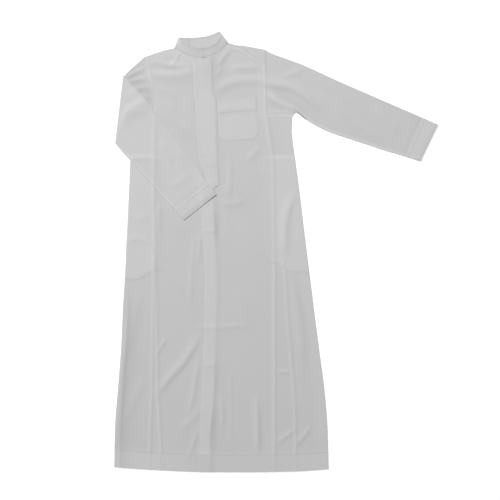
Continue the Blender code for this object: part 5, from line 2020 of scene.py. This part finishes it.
@dataclass
class StandCollar:
    """The stand collar: flat on the floor behind the neck, arched over it in front."""

    step: float = 3.5
    wall: float = 1.0
    end_steps: tuple = (0.0, 0.4, 1.0, 2.0, 3.0, 3.7, 4.4)

    def station(self, row: Collar, low_z: float | None = None) -> np.ndarray:
        """The low and top points of the collar at one place, on the front where no height is given.

        Args:
            row: A row of the collar's tables.
            low_z: The height of its low point, or None on the front.

        Returns:
            The low point and the top point.
        """
        if low_z is None:
            low_z = float(LAY.front(row.low_x, row.low_y, seams=False))
        slope = math.atan2(row.top_z - low_z, math.dist(row[:2], row[2:4]))
        shift = np.array([0.0, row.inset * math.sin(slope), -row.inset * math.cos(slope)])
        low = (row.low_x, row.low_y + 2 * SEAM_HALF, low_z)
        return np.array([low, (row.top_x, row.top_y, row.top_z)]) + shift

    def corner(self, row: Collar, sign: int) -> list:
        """Stations round the collar's fold at one side, from its front layer to its back layer.

        Args:
            row: A row of the collar's tables.
            sign: -1 at the left and 1 at the right.

        Returns:
            The stations, in order.
        """
        x, y, height = self.station(row).T
        radius = height / 2
        stations = []
        for angle in np.linspace(0, math.pi, ROLL_STEPS + 1):
            out = sign * radius * (math.sin(angle) - 1)
            stations.append(np.column_stack((x + out, y, radius + radius * math.cos(angle))))
        return stations

    def stations(self) -> np.ndarray:
        """The low and top points all along the collar, from its left end round the neck to its right end.

        Returns:
            A pair of points at each station.
        """
        stations = [self.station(row) for row in COLLAR_FRONT_LEFT]
        stations += self.corner(COLLAR_LEFT_CORNER, -1)
        stations += [self.station(row, 0.0) for row in COLLAR_BACK]
        stations += self.corner(COLLAR_RIGHT_CORNER, 1)[::-1]
        return np.array(stations + [self.station(row) for row in COLLAR_FRONT_RIGHT])

    def places(self, knots: np.ndarray) -> np.ndarray:
        """Places along the collar, closer together at its two ends.

        Args:
            knots: How far along the collar each station is, in mm.

        Returns:
            The places, in order.
        """
        at = [knots[-1] - step for step in self.end_steps] + list(self.end_steps)
        for low, high in zip(knots[:-1], knots[1:]):
            at.extend(np.linspace(low, high, max(int(math.ceil((high - low) / self.step)), 1) + 1)[:-1])
        return np.array(sorted(set(np.round(at, 4))))

    def make(self, shop: Workshop) -> None:
        """Build and sew the collar.

        Args:
            shop: Where the pieces are sewn.
        """
        stations = self.stations()
        gaps = np.linalg.norm(np.diff(stations, axis=0), axis=2).mean(axis=1)
        knots = np.concatenate(([0.0], np.cumsum(gaps)))
        at = self.places(knots)
        low, top = flowing(knots, stations, at).transpose(1, 0, 2)
        height = float(np.linalg.norm(top - low, axis=1).mean())
        share = spread(height, EDGE_STEPS, EDGE_STEPS) / height
        near_right = np.clip(1 - (knots[-1] - at) / 6.0, 0, 1)
        corner = 4.5 * (1 - np.sqrt(1 - near_right**2))
        raised = np.maximum(corner, 6.5 * smooth(24.0 - at, 0.0, 10.0)) / height
        low = low + (top - low) * raised[:, None]
        points = (low[:, None] + (top - low)[:, None] * share[None, :, None]).transpose(1, 0, 2)
        normal = np.cross(np.gradient(points, axis=1), np.gradient(points, axis=0))
        normal /= np.maximum(np.linalg.norm(normal, axis=2, keepdims=True), 1e-9)
        from_top = (1 - share) * height
        line = (fine_line(from_top - STITCH_IN) + fine_line(share * height - STITCH_IN))[:, None]
        end_line = fine_line(np.minimum(at, knots[-1] - at) - STITCH_IN)[None, :]
        relief = -0.2 * line - 0.3 * fine_line(from_top, 0.8)[:, None] - 0.2 * end_line
        x, z = points[..., 0], points[..., 2]
        # Painted shadow along the top edge of the collar's front
        rim = 0.6 * fine_line(from_top - 0.5, 1.2)[:, None] * smooth(x, -262, -240)
        # Painted shade on the stitch lines and the top edge, stronger on the raised front
        lines = np.maximum(np.maximum(line, end_line), rim) * np.where(z > 4.0, 0.65, 0.35)
        # Painted shade on the collar's left and on its inside at the back
        inside = 0.6 * fine_line(x + 286.6, 1.6) + 0.25 * (1 - smooth(x, -290, -285))
        lines = np.maximum(lines, inside * (1 - smooth(z, 2.0, 4.0)))
        # Painted light on the right of the collar's raised front
        layers = 0.9 * smooth(x, -270, -205) * smooth(z, 4.0, 7.0)
        points = points + normal * (relief * smooth(z, 0.2, 3.0))[..., None]
        points[..., 2] = np.maximum(points[..., 2], 0.0)
        rows = (EDGE_STITCH, len(share) - 1 - EDGE_STITCH)
        look = {"slot": Slot.STIFF, "wall": self.wall, "layers": layers, "lines": lines, "held": Held.FOLDED}
        stitches = [points[row] + normal[row] * STITCH_OUT for row in rows]
        shop.sew(ClothPiece("collar", points, **look), stitches)


@dataclass
class Placket:
    """The strip down the centre front, with its pointed end."""

    rise: float = 1.15
    wall: float = 0.5
    cross_lines: tuple = (292.0, 282.0)
    blend: float = 28.0
    tip_blend: float = 24.0
    painted_shade_share: float = 0.55

    def make(self, shop: Workshop) -> None:
        """Build and sew the placket.

        Args:
            shop: Where the pieces are sewn.
        """
        top_y, low_y = PLACKET[0].y, PLACKET[-1].y
        length = top_y - low_y
        down = spread(length, EDGE_STEPS, EDGE_STEPS)
        level = top_y - down
        left = LAY.placket_edge("left", level)
        width = LAY.placket_edge("right", level) - left
        across = fixed_spread(width, EDGE_STEPS, EDGE_STEPS, step=4.0)
        x = left[:, None] + across
        share = across / width[:, None]
        top = flowing(range(len(PLACKET_TOP)), PLACKET_TOP, share[0] * (len(PLACKET_TOP) - 1))
        near_top = (1 - smooth(down, 0.0, self.blend))[:, None]
        x = x + near_top * (top[None, :, 0] - x[:1])
        y = level[:, None] + near_top * (top[None, :, 1] - PLACKET_TOP_GAP - top_y)
        tip_x = [x[-1, 0], PLACKET_TIP[0], x[-1, -1]]
        tip = np.interp(x[-1], tip_x, [low_y - 4, PLACKET_TIP[1], low_y - 1]) - low_y
        y = y + smooth(down, length - self.tip_blend, length)[:, None] * tip[None, :]
        edge = np.minimum(np.minimum(across, width[:, None] - across), (length - down)[:, None])
        height = LAY.front(x, y) + settled_rise(edge, self.rise, self.wall)
        # Painted shade on the stitch lines and along the edges
        lines = 0.25 * fine_line(edge - STITCH_IN) + 0.55 * fine_line(edge, 1.2)
        height -= 0.12 * fine_line(edge - STITCH_IN, 0.7)
        for cross in self.cross_lines:
            height -= 0.25 * fine_line(y - cross, 0.9)
            lines = np.maximum(lines, 0.5 * fine_line(y - cross, 1.6) * (edge > STITCH_IN))
        wave = np.sin(y / 9.5 + 1.3 * np.sin(y / 31)) * np.exp(-(((share - 0.55) / 0.3) ** 2))
        height += 0.16 * wave * (y > 300) + 0.25 * np.sin(math.pi * share)
        points = np.stack((x, y, height), axis=-1)
        inner = slice(EDGE_STITCH, -EDGE_STITCH)
        paths = [points[:-EDGE_STITCH, EDGE_STITCH], points[:-EDGE_STITCH, -1 - EDGE_STITCH]]
        rows = [-1 - EDGE_STITCH] + [int(np.argmin(np.abs(level - cross))) for cross in self.cross_lines]
        paths += [points[row, inner] for row in rows]
        piece = ClothPiece(
            "placket",
            points,
            layers=np.full(lines.shape, STIFF_TONE),
            lines=self.painted_shade_share * lines,
            slot=Slot.STIFF,
            wall=self.wall,
            rests_on=("front_left", "front_right"),
        )
        shop.sew(piece, [lifted(path) for path in paths])


@dataclass
class ChestPocket:
    """The chest pocket and the folded band at its mouth."""

    wall: float = 0.35
    width: float = math.dist(POCKET_TOP_LEFT, POCKET_TOP_RIGHT)
    depth: float = math.dist(POCKET_TOP_LEFT, POCKET_LOW_LEFT)
    corner: float = 1.15 * POCKET_CORNER
    corner_slope: float = 0.98

    def place(self, across: np.ndarray, down: np.ndarray) -> tuple:
        """Places on the front for shares across and down the pocket.

        Args:
            across: Shares across it.
            down: Shares down it.

        Returns:
            The x and the y of each place.
        """
        places = []
        for left, right, low_left, low_right in zip(
            POCKET_TOP_LEFT, POCKET_TOP_RIGHT, POCKET_LOW_LEFT, POCKET_LOW_RIGHT
        ):
            top = left * (1 - across) + right * across
            places.append((1 - down) * top + down * (low_left * (1 - across) + low_right * across))
        return tuple(places)

    def patch(self, first: float, last: float, rise: float, cornered: bool) -> tuple:
        """One of the pocket's two pieces, between two depths below its mouth.

        Args:
            first: Depth of its upper edge.
            last: Depth of its lower edge.
            rise: Height of its outer face above the front.
            cornered: Whether its two low corners are cut off.

        Returns:
            Rows of points, the stitch lines where shade is painted, and the distance from its edges.
        """
        across = spread(self.width, EDGE_STEPS, EDGE_STEPS)[None, :]
        down = first + spread(last - first, EDGE_STEPS, EDGE_STEPS)[:, None]
        cut = np.zeros(down.shape)
        if cornered:
            cut = self.corner_slope * np.clip(self.corner - (self.depth - down), 0, self.corner)
        squeezed = cut + across * (1 - 2 * cut / self.width)
        x, y = self.place(squeezed / self.width, np.broadcast_to(down / self.depth, squeezed.shape))
        edge = np.minimum(across, self.width - across) + 0 * down
        sewn = np.minimum(edge, last - down)
        inside = sewn if cornered else edge
        line = fine_line(sewn - STITCH_IN)
        height = LAY.front(x, y) + settled_rise(inside, rise, self.wall) - 0.1 * line
        if cornered:
            under_band = fine_line(down - first, 14) * (1.2 - across / self.width)
            height -= 0.3 * under_band * smooth(inside, 0, 8)
        return np.stack((x, y, height), axis=-1), line, sewn

    def make(self, shop: Workshop) -> None:
        """Build and sew the pocket and its band.

        Args:
            shop: Where the pieces are sewn.
        """
        band_low = POCKET_BAND_DEPTH - SEAM_HALF
        points, lines, _ = self.patch(0.0, band_low, POCKET_BAND_RISE, False)
        columns = [points[:, column] for column in (EDGE_STITCH, -1 - EDGE_STITCH)]
        piece = ClothPiece(
            "pocket_band",
            points,
            slot=Slot.STIFF,
            wall=self.wall,
            layers=np.full(lines.shape, STIFF_TONE),
            # Painted shade on the band's stitch lines
            lines=0.25 * lines,
            rests_on=("front_right",),
        )
        rows = [points[row] for row in (-1 - EDGE_STITCH, EDGE_STITCH)]
        shop.sew(piece, [lifted(path) for path in columns + rows])

        points, lines, sewn = self.patch(POCKET_BAND_DEPTH + SEAM_HALF, self.depth, POCKET_RISE, True)
        below_band = np.linalg.norm(points - points[:1], axis=2)
        # Painted shadow under the band, deepest at its left
        shade = 0.26 * fine_line(below_band, 15.0) * np.linspace(1.0, 0.3, points.shape[1])[None, :]
        around = [points[:-EDGE_STITCH, EDGE_STITCH], points[-1 - EDGE_STITCH, EDGE_STITCH:-EDGE_STITCH]]
        around.append(points[:-EDGE_STITCH, -1 - EDGE_STITCH])
        piece = ClothPiece(
            "pocket",
            points,
            wall=self.wall,
            # Lighter at the edges, where the turned-in edge is doubled and light is painted
            layers=0.4 + 0.3 * (1 - smooth(sewn, 2.5, 4.5)),
            lines=np.maximum(0.3 * lines, shade),
            rests_on=("front_right",),
        )
        shop.sew(piece, [lifted(path) for path in around])


@dataclass
class PocketBags:
    """The side pockets' bags, which lie inside the side panels."""

    outer_z: float = 2.3
    inset: float = 9.0
    rows: int = 48
    columns: int = 14
    foot_rise: float = 18.0
    foot_reach: float = 45.0

    def make(self, shop: Workshop) -> None:
        """Build both bags.

        Args:
            shop: Where the pieces are sewn.
        """
        y = np.linspace(BAG_TOP_Y, BAG_LOW_Y, self.rows)
        share = np.linspace(0, 1, self.columns)[None, :]
        near_foot = (1 - smooth(y, BAG_LOW_Y, BAG_LOW_Y + self.foot_reach))[:, None]
        level = y[:, None] + self.foot_rise * near_foot * (1 - share)
        for side, sign in (("left", -1), ("right", 1)):
            inner = LAY.line(side + "_seam", np.maximum(y, GORE_TOP_Y)) + sign * 3
            outer = LAY.line(side + "_edge", y) - sign * self.inset
            x = inner[:, None] + (outer - inner)[:, None] * share
            points = np.stack((x, level, np.full(x.shape, self.outer_z)), axis=-1)[:, ::sign]
            rests_on = ("side_panel_" + side,)
            shop.sew(ClothPiece("pocket_bag_" + side, points, slot=Slot.POCKETING, rests_on=rests_on), [])


@dataclass
class Studio:
    """Plain pale floor, soft light from the upper left, and a camera straight above."""

    view_centre: tuple = (-86.7, 6.6)
    view_width: float = 1657.5
    camera_height: float = 4.0
    sensor: float = 36.0
    floor_size: float = 14.0
    floor_drop: float = 0.0006
    aim: tuple = (-0.15, 0.0, 0.0)
    surroundings: float = 0.225

    def floor(self) -> None:
        """Lay the floor."""
        bm = bmesh.new()
        bmesh.ops.create_grid(bm, x_segments=8, y_segments=8, size=self.floor_size / 2)
        mesh = bpy.data.meshes.new("floor")
        bm.to_mesh(mesh)
        bm.free()
        mesh.materials.append(FloorFinish().build())
        plane = bpy.data.objects.new("floor", mesh)
        plane.location = (0.0, 0.0, -self.floor_drop)
        bpy.context.scene.collection.objects.link(plane)

    def light(self, name: str, place: tuple, size: float, power: float) -> None:
        """Hang one soft square lamp that faces the robe.

        Args:
            name: What it is called.
            place: Where it hangs, in m.
            size: The length of its sides, in m.
            power: Its power, in W.
        """
        lamp = bpy.data.lights.new(name, "AREA")
        lamp.shape = "SQUARE"
        lamp.size = size
        lamp.energy = power
        holder = bpy.data.objects.new(name, lamp)
        holder.location = place
        aim = np.array(self.aim) - np.array(place)
        aim = aim / np.linalg.norm(aim)
        holder.rotation_euler = (math.acos(-aim[2]), 0.0, math.atan2(-aim[0], aim[1]))
        bpy.context.scene.collection.objects.link(holder)

    def make(self) -> None:
        """Set up the floor, lamps, surroundings and camera."""
        self.floor()
        self.light("key_lamp", (-4.4, 5.5, 7.2), 2.2, 612.0)
        self.light("fill_lamp", (0.4, 1.4, 3.4), 2.2, 10.0)
        world = bpy.data.worlds.new("studio")
        world.use_nodes = True
        sky = world.node_tree.nodes["Background"]
        sky.inputs["Color"].default_value = (1.0, 1.0, 1.0, 1.0)
        sky.inputs["Strength"].default_value = self.surroundings
        bpy.context.scene.world = world
        bpy.context.scene.view_settings.view_transform = "Standard"
        camera = bpy.data.cameras.new("camera")
        camera.sensor_width = self.sensor
        camera.lens = self.sensor * self.camera_height / (self.view_width * MM)
        holder = bpy.data.objects.new("camera", camera)
        holder.location = (self.view_centre[0] * MM, self.view_centre[1] * MM, self.camera_height)
        bpy.context.scene.collection.objects.link(holder)
        bpy.context.scene.camera = holder


def main() -> None:
    """Build the robe piece by piece, then its surroundings."""
    logging.basicConfig(level=logging.INFO, format="%(message)s")
    Studio().make()
    shop = Workshop()
    shop.prepare()
    for part in (
        FrontPanels(),
        Gores(),
        SidePanels(),
        BackPanel(),
        Yoke(),
        StraightSleeve(),
        FoldedSleeve(),
        StandCollar(),
        Placket(),
        ChestPocket(),
        PocketBags(),
    ):
        part.make(shop)
        log.info("%s is ready", type(part).__name__)


if __name__ == "__main__":
    main()
